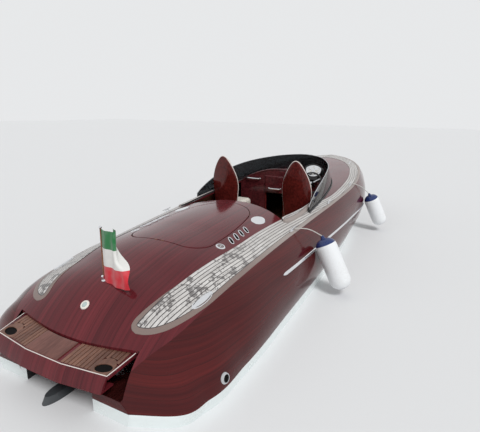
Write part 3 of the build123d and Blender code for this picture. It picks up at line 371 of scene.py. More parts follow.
def axes(tree, vector):
    # The vector's X, Y and Z as three sockets.
    return addNode(tree, "ShaderNodeSeparateXYZ", {0: vector}).outputs


def mixColour(tree, share, first, second, blend="MIX"):
    # first (1 - share) + second share
    made = addNode(tree, "ShaderNodeMix", {0: share, 6: first, 7: second}, data_type="RGBA", blend_type=blend)
    return made.outputs[2]


def spread(tree, value, low, high, outLow=0.0, outHigh=1.0):
    # Smooth step: at low it gives outLow, at high outHigh, with t^2 (3 - 2t) between.
    made = addNode(tree, "ShaderNodeMapRange", {0: value, 1: low, 2: high, 3: outLow, 4: outHigh})
    made.interpolation_type = "SMOOTHSTEP"
    return made.outputs[0]


def stretched(tree, vector, scale, turn=(0, 0, 0)):
    # The vector turned, then multiplied by the scale axis by axis.
    return addNode(tree, "ShaderNodeMapping", {"Vector": vector, "Scale": scale, "Rotation": turn}).outputs[0]


def noise(tree, vector, scale, detail=3.0, rough=0.5, twist=0.0):
    # Fractal noise: each octave is twice as fine and rough times as strong as the one before.
    made = addNode(tree, "ShaderNodeTexNoise", {"Vector": vector, "Scale": scale, "Detail": detail,
                                                "Roughness": rough, "Distortion": twist})
    return made.outputs[0]


def newGroup(name, inputs, outputs):
    # A node group with named sockets; it gives the tree and its two ends.
    group = bpy.data.node_groups.new(name, "ShaderNodeTree")
    for socketName, kind, value in inputs:
        socket = group.interface.new_socket(socketName, in_out="INPUT", socket_type="NodeSocket" + kind)
        if value is not None:
            socket.default_value = value
    for socketName, kind in outputs:
        group.interface.new_socket(socketName, in_out="OUTPUT", socket_type="NodeSocket" + kind)
    return group, group.nodes.new("NodeGroupInput").outputs, group.nodes.new("NodeGroupOutput").inputs


def makeWoodFigure():
    # Long streaks: noise on a vector that is drawn out along X, broad bands under fine pores.
    tree, given, put = newGroup("woodFigure",
                                [("Vector", "Vector", None), ("Dark", "Color", (0.1, 0.02, 0.01, 1)),
                                 ("Light", "Color", (0.4, 0.12, 0.06, 1)), ("Bands", "Float", 30.0),
                                 ("Pores", "Float", 0.3)], [("Color", "Color"), ("Height", "Float")])
    scaled = addNode(tree, "ShaderNodeVectorMath", {0: given["Vector"], 1: (0.0198, 1, 1)},
                     operation="MULTIPLY").outputs[0]
    bands = noise(tree, scaled, given["Bands"], 5.0, 0.68)
    poreVector = addNode(tree, "ShaderNodeVectorMath", {0: given["Vector"], 1: (0.02, 1, 1)},
                         operation="MULTIPLY").outputs[0]
    pores = noise(tree, poreVector, 210.0, 2.0, 0.6)
    broad = noise(tree, scaled, 5.0, 2.0, 0.5)
    share = spread(tree, mathNode(tree, "MULTIPLY_ADD", bands, 0.75, product(tree, broad, 0.35)), 0.36, 0.74)
    base = mixColour(tree, share, given["Dark"], given["Light"])
    poreMask = product(tree, spread(tree, pores, 0.52, 0.7), given["Pores"])
    tree.links.new(mixColour(tree, poreMask, base, given["Dark"]), put["Color"])
    tree.links.new(mathNode(tree, "SUBTRACT", share, poreMask), put["Height"])
    return tree


def makePlankJoints():
    # Counts planks across: the fraction of distance over pitch is near 0 or 1 at a joint.
    tree, given, put = newGroup("plankJoints", [
        ("Distance", "Float", 0.0), ("Pitch", "Float", 0.04), ("Joint", "Float", 0.004)],
        [("Mask", "Float"), ("Tone", "Float")])
    count = mathNode(tree, "DIVIDE", given["Distance"], given["Pitch"])
    part = mathNode(tree, "FRACT", count)
    near = product(tree, mathNode(tree, "MINIMUM", part, mathNode(tree, "SUBTRACT", 1.0, part)),
                   given["Pitch"])
    half = product(tree, given["Joint"], 0.5)
    wide = product(tree, given["Joint"], 0.85)
    mask = addNode(tree, "ShaderNodeMapRange", {0: near, 1: half, 2: wide, 3: 1.0, 4: 0.0}).outputs[0]
    tone = addNode(tree, "ShaderNodeTexWhiteNoise", {"W": mathNode(tree, "FLOOR", count)},
                   noise_dimensions="1D").outputs["Value"]
    tree.links.new(mask, put["Mask"])
    tree.links.new(tone, put["Tone"])
    return tree


def makeHandling():
    # Where hands, water and dust have been: two sizes of noise multiplied, as a mask and a roughness.
    tree, given, put = newGroup("handling", [
        ("Vector", "Vector", None), ("Size", "Float", 3.0), ("Low", "Float", 0.1), ("High", "Float", 0.3)],
        [("Roughness", "Float"), ("Mask", "Float")])
    broad = noise(tree, given["Vector"], given["Size"], 5.0, 0.6)
    fine = noise(tree, given["Vector"], 55.0, 3.0, 0.6)
    mask = product(tree, spread(tree, broad, 0.38, 0.68), spread(tree, fine, 0.3, 0.72))
    span = mathNode(tree, "SUBTRACT", given["High"], given["Low"])
    tree.links.new(mathNode(tree, "MULTIPLY_ADD", mask, span, given["Low"]), put["Roughness"])
    tree.links.new(mask, put["Mask"])
    return tree


def makeHideGrain():
    # Leather: cells of a Voronoi pattern are the grain, their borders the creases.
    tree, given, put = newGroup("hideGrain", [("Vector", "Vector", None), ("Scale", "Float", 260.0)],
                                [("Height", "Float"), ("Tone", "Float")])
    wander = noise(tree, given["Vector"], 40.0, 2.0)
    moved = addNode(tree, "ShaderNodeVectorMath", {0: given["Vector"], 1: (0.004, 0.004, 0.004)},
                    operation="ADD").outputs[0]
    cells = addNode(tree, "ShaderNodeTexVoronoi", {"Vector": moved, "Scale": given["Scale"]},
                    feature="DISTANCE_TO_EDGE").outputs[0]
    tree.links.new(spread(tree, cells, 0.0, 0.12), put["Height"])
    tree.links.new(spread(tree, wander, 0.3, 0.7), put["Tone"])
    return tree


woodFigure, plankJoints = makeWoodFigure(), makePlankJoints()
handling, hideGrain = makeHandling(), makeHideGrain()


def useGroup(tree, group, **inputs):
    # Puts a group in a material with this material's own values.
    made = tree.nodes.new("ShaderNodeGroup")
    made.node_tree = group
    for key, value in inputs.items():
        if isinstance(value, bpy.types.NodeSocket):
            tree.links.new(value, made.inputs[key])
        else:
            made.inputs[key].default_value = value
    return made.outputs


def newMaterial(name, **shader):
    # A Principled shader with its plain values on its own sockets, and the Object coordinates to work from.
    material = bpy.data.materials.new(name)
    material.use_nodes = True
    tree = material.node_tree
    tree.nodes.clear()
    surface = tree.nodes.new("ShaderNodeBsdfPrincipled")
    tree.links.new(surface.outputs[0], tree.nodes.new("ShaderNodeOutputMaterial").inputs[0])
    for key, value in shader.items():
        surface.inputs[key.replace("_", " ")].default_value = value
    return material, tree, surface.inputs, tree.nodes.new("ShaderNodeTexCoord").outputs


def wear(tree, coords, put, size, low, high):
    # The handling group as the roughness: low + mask (high - low).
    worn = useGroup(tree, handling, Vector=coords["Object"], Size=size, Low=low, High=high)
    tree.links.new(worn["Roughness"], put["Roughness"])
    return worn


def bumpFrom(tree, height, strength, distance):
    # Normal tilted by the slope of height times distance.
    return addNode(tree, "ShaderNodeBump",
                   {"Height": height, "Strength": strength, "Distance": distance}).outputs[0]


def makeVarnish(name, dark, light, low=0.12, high=0.3, planks=None, keep=(1, 1, 1), coat=0.6, haze=0.05):
    # Varnished wood: streaked colour under a clear coat; the coat's own roughness is plain. keep drops the
    # axis that would show end grain where the skin curves down.
    material, tree, put, coords = newMaterial(name, Coat_Weight=coat, Coat_Roughness=haze, Coat_IOR=1.5,
                                              Specular_IOR_Level=0.10)
    flat = stretched(tree, coords["Object"], keep)
    figure = useGroup(tree, woodFigure, Vector=flat, Dark=(*dark, 1), Light=(*light, 1), Pores=0.35)
    colour, height = figure["Color"], figure["Height"]
    if planks:
        place = axes(tree, coords["Object"])[planks["axis"]]
        joints = useGroup(tree, plankJoints, Distance=place, Pitch=planks["pitch"], Joint=planks["joint"])
        tinted = mixColour(tree, product(tree, joints["Tone"], 0.4), colour, (*dark, 1))
        colour = mixColour(tree, product(tree, joints["Mask"], 0.75), tinted, (0.012, 0.004, 0.003, 1))
    wear(tree, coords, put, 2.2, low, high)
    tree.links.new(colour, put["Base Color"])
    tree.links.new(bumpFrom(tree, height, 0.06, 0.0006), put["Normal"])
    return material


# The side's two colours are the deck's mahogany made darker: painted shade on the hull's sides.
varnish = {"deckDark": (0.074, 0.009, 0.013), "deckLight": (0.165, 0.021, 0.028),
           "shadedSideDark": (0.044, 0.004, 0.005), "shadedSideLight": (0.105, 0.010, 0.010)}
deckMahogany = makeVarnish("deckMahogany", varnish["deckDark"], varnish["deckLight"], keep=(1, 1, 0),
                           coat=0.38, haze=0.09, planks={"axis": 1, "pitch": 0.085, "joint": 0.0016})
shadedSideMahogany = makeVarnish("shadedSideMahogany", varnish["shadedSideDark"], varnish["shadedSideLight"], keep=(1, 0, 1),
                           coat=0.32, planks={"axis": 2, "pitch": 0.075, "joint": 0.0014})
# Near-black varnish for the recess walls and floor: painted shade in the recess under the deck.
shadedRecessWood = makeVarnish("shadedRecessWood", (0.020, 0.004, 0.004), (0.045, 0.008, 0.007), 0.2, 0.4)
dashMahogany = makeVarnish("dashMahogany", (0.045, 0.008, 0.010), (0.115, 0.020, 0.024))
seatLacquer = makeVarnish("seatLacquer", (0.055, 0.007, 0.006), (0.135, 0.017, 0.014))
panelWood = makeVarnish("panelWood", (0.095, 0.034, 0.027), (0.190, 0.078, 0.062), coat=0.4)
bulkheadWood = makeVarnish("bulkheadWood", (0.10, 0.035, 0.018), (0.26, 0.11, 0.055), 0.3, 0.5)


def makeTeak(name, shape):
    # Teak planks between dark seams, a margin board along the outer edge, and wet patches that shine.
    material, tree, put, coords = newMaterial(name)
    spot = axes(tree, coords["UV"])
    figure = useGroup(tree, woodFigure, Vector=coords["Object"], Dark=(*shape["dark"], 1),
                      Light=(*shape["light"], 1), Bands=30.0, Pores=0.45)
    joints = useGroup(tree, plankJoints, Distance=spot[0], Pitch=shape["pitch"], Joint=shape["seam"])
    bleached = mixColour(tree, product(tree, joints["Tone"], 0.3), figure["Color"], (*shape["dark"], 1))
    worn = useGroup(tree, handling, Vector=coords["Object"], Size=4.0, Low=0.42, High=0.68)
    dusty = mixColour(tree, product(tree, worn["Mask"], 0.45), bleached, (*shape["pale"], 1))
    onMargin = addNode(tree, "ShaderNodeMath", {0: spot[1], 1: shape["margin"]},
                       operation="LESS_THAN").outputs[0]
    place = axes(tree, coords["Object"])[0]
    damp = product(tree, spread(tree, place, *shape["dries"], 1.0, 0.0), shape["wet"])
    rimTone = mixColour(tree, damp, (*shape["border"], 1), (*shape["dampBorder"], 1))
    margin = mixColour(tree, onMargin, dusty, rimTone)
    border = mathNode(tree, "ABSOLUTE", mathNode(tree, "SUBTRACT", spot[1], shape["margin"]))
    borderSeam = mathNode(tree, "LESS_THAN", border, shape["seam"] * 0.5)
    seam = mathNode(tree, "MAXIMUM",
                    product(tree, joints["Mask"], mathNode(tree, "SUBTRACT", 1.0, onMargin)), borderSeam)
    # Puddles: two sizes of noise, only aft of the place where the deck has dried
    blotch = mathNode(tree, "MULTIPLY_ADD", noise(tree, coords["Object"], 9.0, 4.0, 0.65), 0.7,
                      product(tree, noise(tree, coords["Object"], 34.0, 3.0), 0.3))
    puddle = product(tree, spread(tree, blotch, 0.51, 0.57),
                     product(tree, damp, mathNode(tree, "SUBTRACT", 1.0, onMargin)))
    soaked = mixColour(tree, puddle, margin, (*shape["soaked"], 1))
    tree.links.new(mixColour(tree, seam, soaked, (*shape["caulk"], 1)), put["Base Color"])
    shine = addNode(tree, "ShaderNodeMix", {0: puddle, 2: worn["Roughness"], 3: 0.06}).outputs[0]
    tree.links.new(shine, put["Roughness"])
    height = mathNode(tree, "SUBTRACT", product(tree, figure["Height"], 0.3), seam)
    tree.links.new(bumpFrom(tree, height, 0.5, 0.0012), put["Normal"])
    return material


teakShape = {"pitch": 0.0335, "seam": 0.0052, "margin": 0.044, "dark": (0.42, 0.40, 0.385),
             "light": (0.70, 0.68, 0.66), "pale": (0.80, 0.80, 0.81), "border": (0.33, 0.285, 0.265),
             "caulk": (0.045, 0.038, 0.040), "dries": (-2.9, -1.7), "wet": 0.8,
             "soaked": (0.085, 0.075, 0.075), "dampBorder": (0.185, 0.130, 0.115)}
deckTeak = makeTeak("deckTeak", teakShape)
slatShape = {"pitch": 0.5, "seam": 0.001, "margin": -1.0, "dark": (0.095, 0.040, 0.027),
             "light": (0.255, 0.120, 0.080), "pale": (0.30, 0.17, 0.125), "border": (0.3, 0.2, 0.1),
             "caulk": (0.03, 0.015, 0.01), "dries": (-4.8, -3.6), "wet": 0.3, "soaked": (0.06, 0.03, 0.022),
             "dampBorder": (0.3, 0.2, 0.1)}
slatTeak = makeTeak("slatTeak", slatShape)


def makeSoleTeak():
    # The cockpit floor's planks are counted across the boat by Y.
    material, tree, put, coords = newMaterial("soleTeak", Roughness=0.5)
    figure = useGroup(tree, woodFigure, Vector=coords["Object"], Dark=(0.2, 0.1, 0.05, 1),
                      Light=(0.42, 0.24, 0.13, 1), Bands=30.0, Pores=0.4)
    across = axes(tree, coords["Object"])[1]
    joints = useGroup(tree, plankJoints, Distance=across, Pitch=0.07, Joint=0.005)
    tree.links.new(mixColour(tree, joints["Mask"], figure["Color"], (0.03, 0.025, 0.02, 1)),
                   put["Base Color"])
    wear(tree, coords, put, 3.0, 0.4, 0.62)
    return material


def makeMetal(name, colour, low, high, streak=0.0):
    # Polished or brushed metal: the roughness wanders, and brushing is noise drawn out along X.
    material, tree, put, coords = newMaterial(name, Metallic=1.0)
    worn = wear(tree, coords, put, 9.0, low, high)
    brushed = noise(tree, stretched(tree, coords["Object"], (2, 160, 160)), 6.0, 2.0)
    dull = tuple(c * 0.72 for c in colour)
    share = product(tree, worn["Mask"], 0.35)
    tree.links.new(mixColour(tree, share, (*colour, 1), (*dull, 1)), put["Base Color"])
    if streak:
        tree.links.new(bumpFrom(tree, brushed, streak, 0.0004), put["Normal"])
    return material


def makePaint(name, colour, low, high, grime=0.15, coat=0.0, ripple=0.0, dirt=None, shine=0.5):
    # Gelcoat, vinyl or paint with faint grime where it has been handled.
    material, tree, put, coords = newMaterial(name, Coat_Weight=coat, Coat_Roughness=0.08,
                                              Specular_IOR_Level=shine)
    worn = wear(tree, coords, put, 3.4, low, high)
    dark = dirt or tuple(c * 0.6 for c in colour)
    tree.links.new(mixColour(tree, product(tree, worn["Mask"], grime), (*colour, 1), (*dark, 1)),
                   put["Base Color"])
    if ripple:
        tree.links.new(bumpFrom(tree, noise(tree, coords["Object"], 160.0, 4.0), ripple, 0.0008),
                       put["Normal"])
    return material


def makeHide(name, colour, crease, scale=230.0):
    # Leather: the slow tone darkens the colour at random, painted shade darkens it in the grain's creases,
    # and the grain's height is the bump.
    material, tree, put, coords = newMaterial(name, Coat_Weight=0.12, Coat_Roughness=0.3)
    grain = useGroup(tree, hideGrain, Vector=coords["Object"], Scale=scale)
    tinted = mixColour(tree, product(tree, grain["Tone"], 0.25), (*colour, 1), (*crease, 1))
    # Painted shade: the colour goes towards the crease colour near the grain's creases.
    shade = product(tree, mathNode(tree, "SUBTRACT", 1.0, grain["Height"]), 0.35)
    tree.links.new(mixColour(tree, shade, tinted, (*crease, 1)), put["Base Color"])
    wear(tree, coords, put, 5.0, 0.38, 0.56)
    tree.links.new(bumpFrom(tree, grain["Height"], 0.25, 0.0008), put["Normal"])
    return material


def makeGlass():
    # Dark tinted screen; dried spray makes small duller spots.
    material, tree, put, coords = newMaterial("tintedGlass", Transmission_Weight=1.0, IOR=1.46)
    put["Base Color"].default_value = (0.022, 0.026, 0.028, 1)
    wear(tree, coords, put, 8.0, 0.02, 0.09)
    return material


soleTeak = makeSoleTeak()
chrome = makeMetal("chrome", (0.82, 0.83, 0.85), 0.05, 0.16)
brushedSteel = makeMetal("brushedSteel", (0.62, 0.63, 0.65), 0.22, 0.4, 0.15)
gaugeSilver = makeMetal("gaugeSilver", (0.78, 0.79, 0.81), 0.24, 0.38, 0.1)
bronze = makeMetal("bronze", (0.72, 0.52, 0.28), 0.16, 0.36)
gelcoat = makePaint("gelcoat", (0.80, 0.86, 0.86), 0.2, 0.38, 0.2, 0.3, dirt=(0.55, 0.6, 0.55))
driveGrey = makePaint("driveGrey", (0.055, 0.06, 0.065), 0.3, 0.5, 0.3, ripple=0.1)
# Near-black paint inside the drive slot: painted shade.
shadedSlotPaint = makePaint("shadedSlotPaint", (0.02, 0.02, 0.022), 0.5, 0.7, 0.2)
engineGrey = makePaint("engineGrey", (0.16, 0.17, 0.18), 0.4, 0.6, 0.3, ripple=0.3)
ivoryPaint = makePaint("ivoryPaint", (0.80, 0.77, 0.70), 0.25, 0.42, 0.15, 0.3)
whiteVinyl = makePaint("whiteVinyl", (0.82, 0.84, 0.86), 0.28, 0.45, 0.22, 0.2, 0.05, (0.52, 0.5, 0.44))
navyVinyl = makePaint("navyVinyl", (0.012, 0.03, 0.13), 0.25, 0.4, 0.3, 0.2, 0.05)
blackRubber = makePaint("blackRubber", (0.012, 0.012, 0.013), 0.42, 0.6, 0.2, ripple=0.25,
                        dirt=(0.05, 0.05, 0.05))
# Near black for the gauges' printed hands and ticks, and painted shade in the fairlead, louvre and exhaust
# hollows.
blackPrintAndHollowShade = makePaint("blackPrintAndHollowShade", (0.006, 0.005, 0.005), 0.7, 0.9, shine=0.1)
capGrey = makePaint("capGrey", (0.16, 0.12, 0.12), 0.25, 0.4, 0.3, 0.4)
whiteDial = makePaint("whiteDial", (0.78, 0.78, 0.75), 0.3, 0.4, 0.05, 0.6)
lampLens = makePaint("lampLens", (0.42, 0.52, 0.50), 0.1, 0.2, 0.1, 1.0)
pipingHide = makePaint("pipingHide", (0.72, 0.66, 0.62), 0.35, 0.5, 0.12, 0.1, 0.1)
ivoryHide = makeHide("ivoryHide", (0.78, 0.75, 0.68), (0.50, 0.46, 0.39))
blackHide = makeHide("blackHide", (0.02, 0.02, 0.022), (0.006, 0.006, 0.007))
tintedGlass = makeGlass()
print("materials ready")

# Hull: topsides, bottom and the recess with the drive slot
hull = {"recessY": 0.681, "recessZ": 0.186, "recessCorner": 0.275, "recessNose": 0.134, "slotY": 0.385,
        "slotX": 0.35, "slotTop": 0.196, "wall": 0.034, "deckCorner": 0.218}
stem = stemFrom + (bowEnd - stemFrom) * np.sin(np.linspace(0, np.pi / 2, 9))
hullRuns = [(0, hull["deckCorner"], 19), (hull["deckCorner"], hull["slotX"], 12), (hull["slotX"], 1.0, 21),
            (1.0, 7.2, 105), (7.2, stemFrom, 34)]
alongHull = np.concatenate([[0]] + [np.linspace(*run)[1:] for run in hullRuns])
alongHull = np.concatenate([alongHull[:-1], stem])


def topsideGrid(x, side, steps=26):
    # Along each station's arc from the sheer to the stripe. Near the stern the arc starts where it leaves the
    # recess: at the recess's half-width, or at its floor where that is lower.
    centreY, centreZ, radius, start, turn = sideCircle(x)
    atWall = np.arccos(np.clip((hull["recessY"] - centreY) / radius, -1, 1))
    atFloor = np.arcsin(np.clip((hull["recessZ"] - centreZ) / radius, -1, 1))
    cut = np.minimum(start, np.maximum(atWall, atFloor))
    begin = np.where(x < hull["deckCorner"], cut, start)
    share = np.linspace(0, 1, steps) ** 1.3
    angle = begin[:, None] + (start - turn - begin)[:, None] * share[None]
    y = centreY[:, None] + radius[:, None] * np.cos(angle)
    z = centreZ[:, None] + radius[:, None] * np.sin(angle)
    return asPoints(x[:, None], side * y, z)


for sideName, side in bothSides:
    outer = topsideGrid(alongHull, side)
    inner = outer.copy()
    floorY = np.where(outer[..., 0] < hull["recessCorner"] + 0.05, hull["recessY"] + 0.002, 0.0)
    inner[..., 1] = side * np.maximum(abs(outer[..., 1]) - hull["wall"],
                                      np.minimum(floorY, abs(outer[..., 1])))
    buildPiece(f"topsides{sideName.capitalize()}", shell(outer, inner), shadedSideMahogany,
               replaced=[f"topsides_{sideName}"])


def bottomGrid(x, side):
    # Straight runs from the stripe to the chine and on to the keel, with a line kept at the slot's edge.
    row = hullRow(x)
    slotY = np.minimum(hull["slotY"], row[2])
    upper = np.linspace(0, 1, 7)[None]
    lower = np.linspace(0, 1, 9)[None, 1:]
    last = np.linspace(0, 1, 7)[None, 1:]
    y = np.concatenate([row[4][:, None] + (row[2] - row[4])[:, None] * upper,
                        row[2][:, None] + (slotY - row[2])[:, None] * lower, slotY[:, None] * (1 - last)], 1)
    keelSlope = (row[3] - row[1]) / np.maximum(row[2], 1e-6)
    z = np.concatenate([row[5][:, None] + (row[3] - row[5])[:, None] * upper,
                        row[1][:, None] + keelSlope[:, None] * y[:, 7:]], 1)
    return asPoints(x[:, None], side * y, z)


bottomPatches = []
slotRows = int(np.argmin(abs(alongHull - hull["slotX"])))
for side in (1, -1):
    whole = bottomGrid(alongHull, side)
    raised = whole.copy()
    raised[..., 1] = side * np.maximum(abs(whole[..., 1]) - 0.03, 0)
    raised[..., 2] += 0.03
    bottomPatches += shell(whole[:slotRows + 1, :15], raised[:slotRows + 1, :15])
    bottomPatches += shell(whole[slotRows:], raised[slotRows:])
buildPiece("hullBottom", bottomPatches, gelcoat, replaced=["hull_bottom"])

# Stern: transom face, recess walls and floor, drive slot. Each is a thin wall behind its seen face.
sternPatches, faceProud = [], 0.002
recessArc = arcThrough((hull["recessCorner"], hull["recessY"]), (hull["recessNose"], 0),
                       (hull["recessCorner"], -hull["recessY"]), 61)
wallTop = deckHeight(recessArc[:, 0], recessArc[:, 1]) - 0.004
share = np.linspace(0, 1, 7)[None]
wallZ = hull["slotTop"] + (wallTop - hull["slotTop"])[:, None] * share
frontWall = asPoints(recessArc[:, :1], recessArc[:, 1:], wallZ)
sternPatches += shell(frontWall, frontWall + [0.02, 0, 0], part=3)
openX = np.linspace(0, hull["recessCorner"], 26)
centreY, centreZ, radius, start, turn = sideCircle(openX)
wallHigh = np.where(sheerHalf(openX) > hull["recessY"], deckHeight(openX, hull["recessY"]),
                    centreZ + np.sqrt(np.maximum(radius**2 - (hull["recessY"] - centreY)**2, 0)))
wallHigh = np.maximum(wallHigh - 0.001, hull["recessZ"])
slotX = np.linspace(0, hull["slotX"], 15)
row = hullRow(slotX)
slotFoot = row[1] + (row[3] - row[1]) / row[2] * hull["slotY"]
endRow = hullRow(np.zeros(1))[:, 0]
floorEdge = np.minimum(hull["recessY"], sideHalf(openX, hull["recessZ"]) - 0.001)
for side in (1, -1):
    z = hull["recessZ"] + (wallHigh - hull["recessZ"])[:, None] * share
    sideWall = asPoints(openX[:, None], side * hull["recessY"], z)
    sternPatches += shell(sideWall, sideWall + [0, side * 0.0015, 0], part=3)
    y = hull["slotY"] + (floorEdge - hull["slotY"])[:, None] * share
    floor = asPoints(openX[:, None], side * y, hull["recessZ"])
    sternPatches += shell(floor, floor - [0, 0, 0.015], part=3)
    z = slotFoot[:, None] + (hull["recessZ"] - slotFoot)[:, None] * share
    slotWall = asPoints(slotX[:, None], side * hull["slotY"], z)
    sternPatches += shell(slotWall, slotWall + [0, side * 0.012, 0], part=2)
    y = np.linspace(hull["slotY"], endRow[4], 30)
    low = np.where(y < endRow[2], endRow[1] + (endRow[3] - endRow[1]) * y / endRow[2],
                   endRow[3] + (endRow[5] - endRow[3]) * (y - endRow[2]) / (endRow[4] - endRow[2]))
    centre = sideCircle(np.zeros(1))
    high = np.minimum(hull["recessZ"], centre[1] + np.sqrt(np.maximum(centre[2]**2 - (y - centre[0])**2, 0)))
    for bottom, top, part in ((low, np.full(30, endRow[5]), 1), (np.full(30, endRow[5]), high, 0)):
        z = bottom[:, None] + (np.maximum(top, bottom) - bottom)[:, None] * share
        face = asPoints(-faceProud, side * y[:, None], z)
        sternPatches += shell(face, face + [faceProud - 0.0005, 0, 0], part=part)
y = np.linspace(-hull["slotY"], hull["slotY"], 21)
keelEnd = hullRow(np.array([hull["slotX"]]))[:, 0]
foot = keelEnd[1] + (keelEnd[3] - keelEnd[1]) / keelEnd[2] * abs(y)
z = foot[:, None] + (hull["slotTop"] - foot)[:, None] * share
slotFront = asPoints(hull["slotX"], y[:, None], z)
sternPatches += shell(slotFront, slotFront + [0.012, 0, 0], part=2)
slotArc = arcThrough((hull["recessCorner"], hull["recessY"]), (hull["recessNose"], 0),
                     (hull["recessCorner"], -hull["recessY"]), 121)
slotArc = slotArc[abs(slotArc[:, 1]) <= hull["slotY"]]
x = slotArc[:, :1] + (hull["slotX"] - slotArc[:, :1]) * share
ceiling = asPoints(x, slotArc[:, 1:], hull["slotTop"])
sternPatches += shell(ceiling, ceiling + [0, 0, 0.012], part=2)
# Part 3, the recess's walls and floor, takes the near-black varnish: painted shade.
buildPiece("sternRecess", sternPatches, [shadedSideMahogany, gelcoat, shadedSlotPaint, shadedRecessWood],
           replaced=["transom"])
print("hull skins built")

# Decks: the aft deck runs round the hatch, the foredeck beside the cockpit and on to the bow.
deck = {"cockpitAft": 2.88, "cockpitHalf": 0.752, "cockpitFront": 3.08, "hatchGap": 0.009, "hatchAft": 1.335,
        "hatchFront": 2.94, "hatchFlat": 0.3, "hatchAftHalf": 0.5, "hatchFrontHalf": 0.44, "dash": 4.79}
cockpitEdge = np.array([(2.88, 0.752), (3.5, 0.822), (4.1, 0.838), (4.45, 0.832), (4.79, 0.80)])


def hatchHalf(clearance, count):
    # Half the hatch's outline from the middle of its aft edge to the middle of its front.
    s = deck
    aft, front = s["hatchAft"] - clearance, s["hatchFront"] + clearance
    aftHalf, frontHalf = s["hatchAftHalf"] + clearance, s["hatchFrontHalf"] + clearance
    sideRun = (aft + 0.3, aftHalf)
    corner = arcThrough((aft, s["hatchFlat"]), (aft + 0.082, aftHalf - 0.062), sideRun, 40)
    flank = arcThrough(sideRun, ((aft + front) / 2 + 0.09, (aftHalf + frontHalf) / 2 + 0.014),
                       (front - 0.42, frontHalf), 60)
    nose = arcThrough((front - 0.42, frontHalf), (front - 0.122, frontHalf * 0.64), (front, 0), 60)
    edge = np.concatenate([np.linspace((aft, 0), (aft, s["hatchFlat"]), 20), corner[1:], flank[1:], nose[1:]])
    length = np.concatenate([[0], np.cumsum(np.linalg.norm(np.diff(edge, axis=0), axis=1))])
    wanted = np.linspace(0, length[-1], count) if np.isscalar(count) else np.asarray(count) * length[-1]
    return np.stack([np.interp(wanted, length, edge[:, i]) for i in (0, 1)], -1)


def corneredShell(top, depth, closedRows=False, soft=0.0025):
    # A deck wall whose hole edge is eased: the first column drops a little and the next lies just inside it.
    inward = top[:, 1] - top[:, 0]
    inward /= np.maximum(np.linalg.norm(inward, axis=1), 1e-9)[:, None]
    first = top[:, :1] - [0, 0, soft]
    eased = np.concatenate([first, top[:, :1] + inward[:, None] * soft, top[:, 1:]], 1)
    return shell(eased, eased - [0, 0, depth], closedRows)


segments = [(26, 0.0, 0.13), (6, 0.13, 0.17), (96, 0.17, 0.80), (10, 0.80, 0.87), (26, 0.87, 1.0)]
innerShares = np.concatenate([np.linspace(a, b, n, endpoint=False) for n, a, b in segments] + [[1.0]])
innerHalf = hatchHalf(deck["hatchGap"], innerShares)
cornerX = hull["deckCorner"]
halfArc = arcThrough((cornerX, hull["recessY"]), (hull["recessNose"], 0), (cornerX, -hull["recessY"]),
                     2 * segments[0][0] + 1)[segments[0][0]::-1]
cornerY = np.linspace(hull["recessY"], sheerHalf(np.array([cornerX]))[0], segments[1][0] + 1)
sheerX = np.linspace(cornerX, deck["cockpitAft"], segments[2][0] + 1)
endY = np.linspace(sheerHalf(np.array([deck["cockpitAft"]]))[0], deck["cockpitHalf"], segments[3][0] + 1)
frontArc = arcThrough((deck["cockpitAft"], deck["cockpitHalf"]), (deck["cockpitFront"], 0),
                      (deck["cockpitAft"], -deck["cockpitHalf"]), 2 * segments[4][0] + 1)
outerHalf = np.concatenate([halfArc[:-1], np.stack([np.full(len(cornerY) - 1, cornerX), cornerY[:-1]], -1),
                            np.stack([sheerX, sheerHalf(sheerX)], -1)[:-1],
                            np.stack([np.full(len(endY) - 1, deck["cockpitAft"]), endY[:-1]], -1),
                            frontArc[:segments[4][0] + 1]])
innerLoop = np.concatenate([innerHalf, (innerHalf * mirror)[-2:0:-1]])
outerLoop = np.concatenate([outerHalf, (outerHalf * mirror)[-2:0:-1]])
ringShare = np.linspace(0, 1, 15)[None, :, None]
ringPlan = innerLoop[:, None] * (1 - ringShare) + outerLoop[:, None] * ringShare
ring = np.concatenate([ringPlan, deckHeight(ringPlan[..., 0], ringPlan[..., 1])[..., None]], -1)
aftPatches = corneredShell(ring, deckWall, closedRows=True)
hornX = np.linspace(0.07, cornerX, 22)
hornX = hornX[sheerHalf(hornX) >= hull["recessY"]]
for side in (1, -1):
    y = np.linspace(np.full(len(hornX), hull["recessY"]), sheerHalf(hornX), len(cornerY)).T
    horn = asPoints(hornX[:, None], side * y, deckHeight(hornX[:, None], y))
    aftPatches += shell(horn, horn - [0, 0, deckWall])
buildPiece("aftDeck", aftPatches, deckMahogany, replaced=["aft_deck"])

foreX = np.concatenate([np.linspace(deck["cockpitAft"], deck["dash"], 40),
                        np.linspace(deck["dash"], 7.6, 70)[1:], np.linspace(7.6, stemFrom, 16)[1:-1], stem])
edgeAtX = curveThrough(cockpitEdge[:, 0], cockpitEdge[:, 1:], np.minimum(foreX, deck["dash"]))[:, 0]
innerY = np.where(foreX <= deck["dash"], edgeAtX,
                  sheerHalf(foreX) * cockpitEdge[-1, 1] / sheerHalf(cockpitEdge[-1:, 0])[0])
forePatches = []
for side in (1, -1):
    y = innerY[:, None] + (sheerHalf(foreX) - innerY)[:, None] * np.linspace(0, 1, 12)[None]
    strip = asPoints(foreX[:, None], side * y, deckHeight(foreX[:, None], y))
    forePatches += shell(strip, strip - [0, 0, deckWall])
middle = foreX >= deck["dash"] - 1e-9
y = innerY[middle, None] * np.linspace(-1, 1, 30)[None]
centreDeck = asPoints(foreX[middle, None], y, deckHeight(foreX[middle, None], y))
forePatches += shell(centreDeck, centreDeck - [0, 0, deckWall])
buildPiece("foreDeck", forePatches, deckMahogany, replaced=["foredeck"])

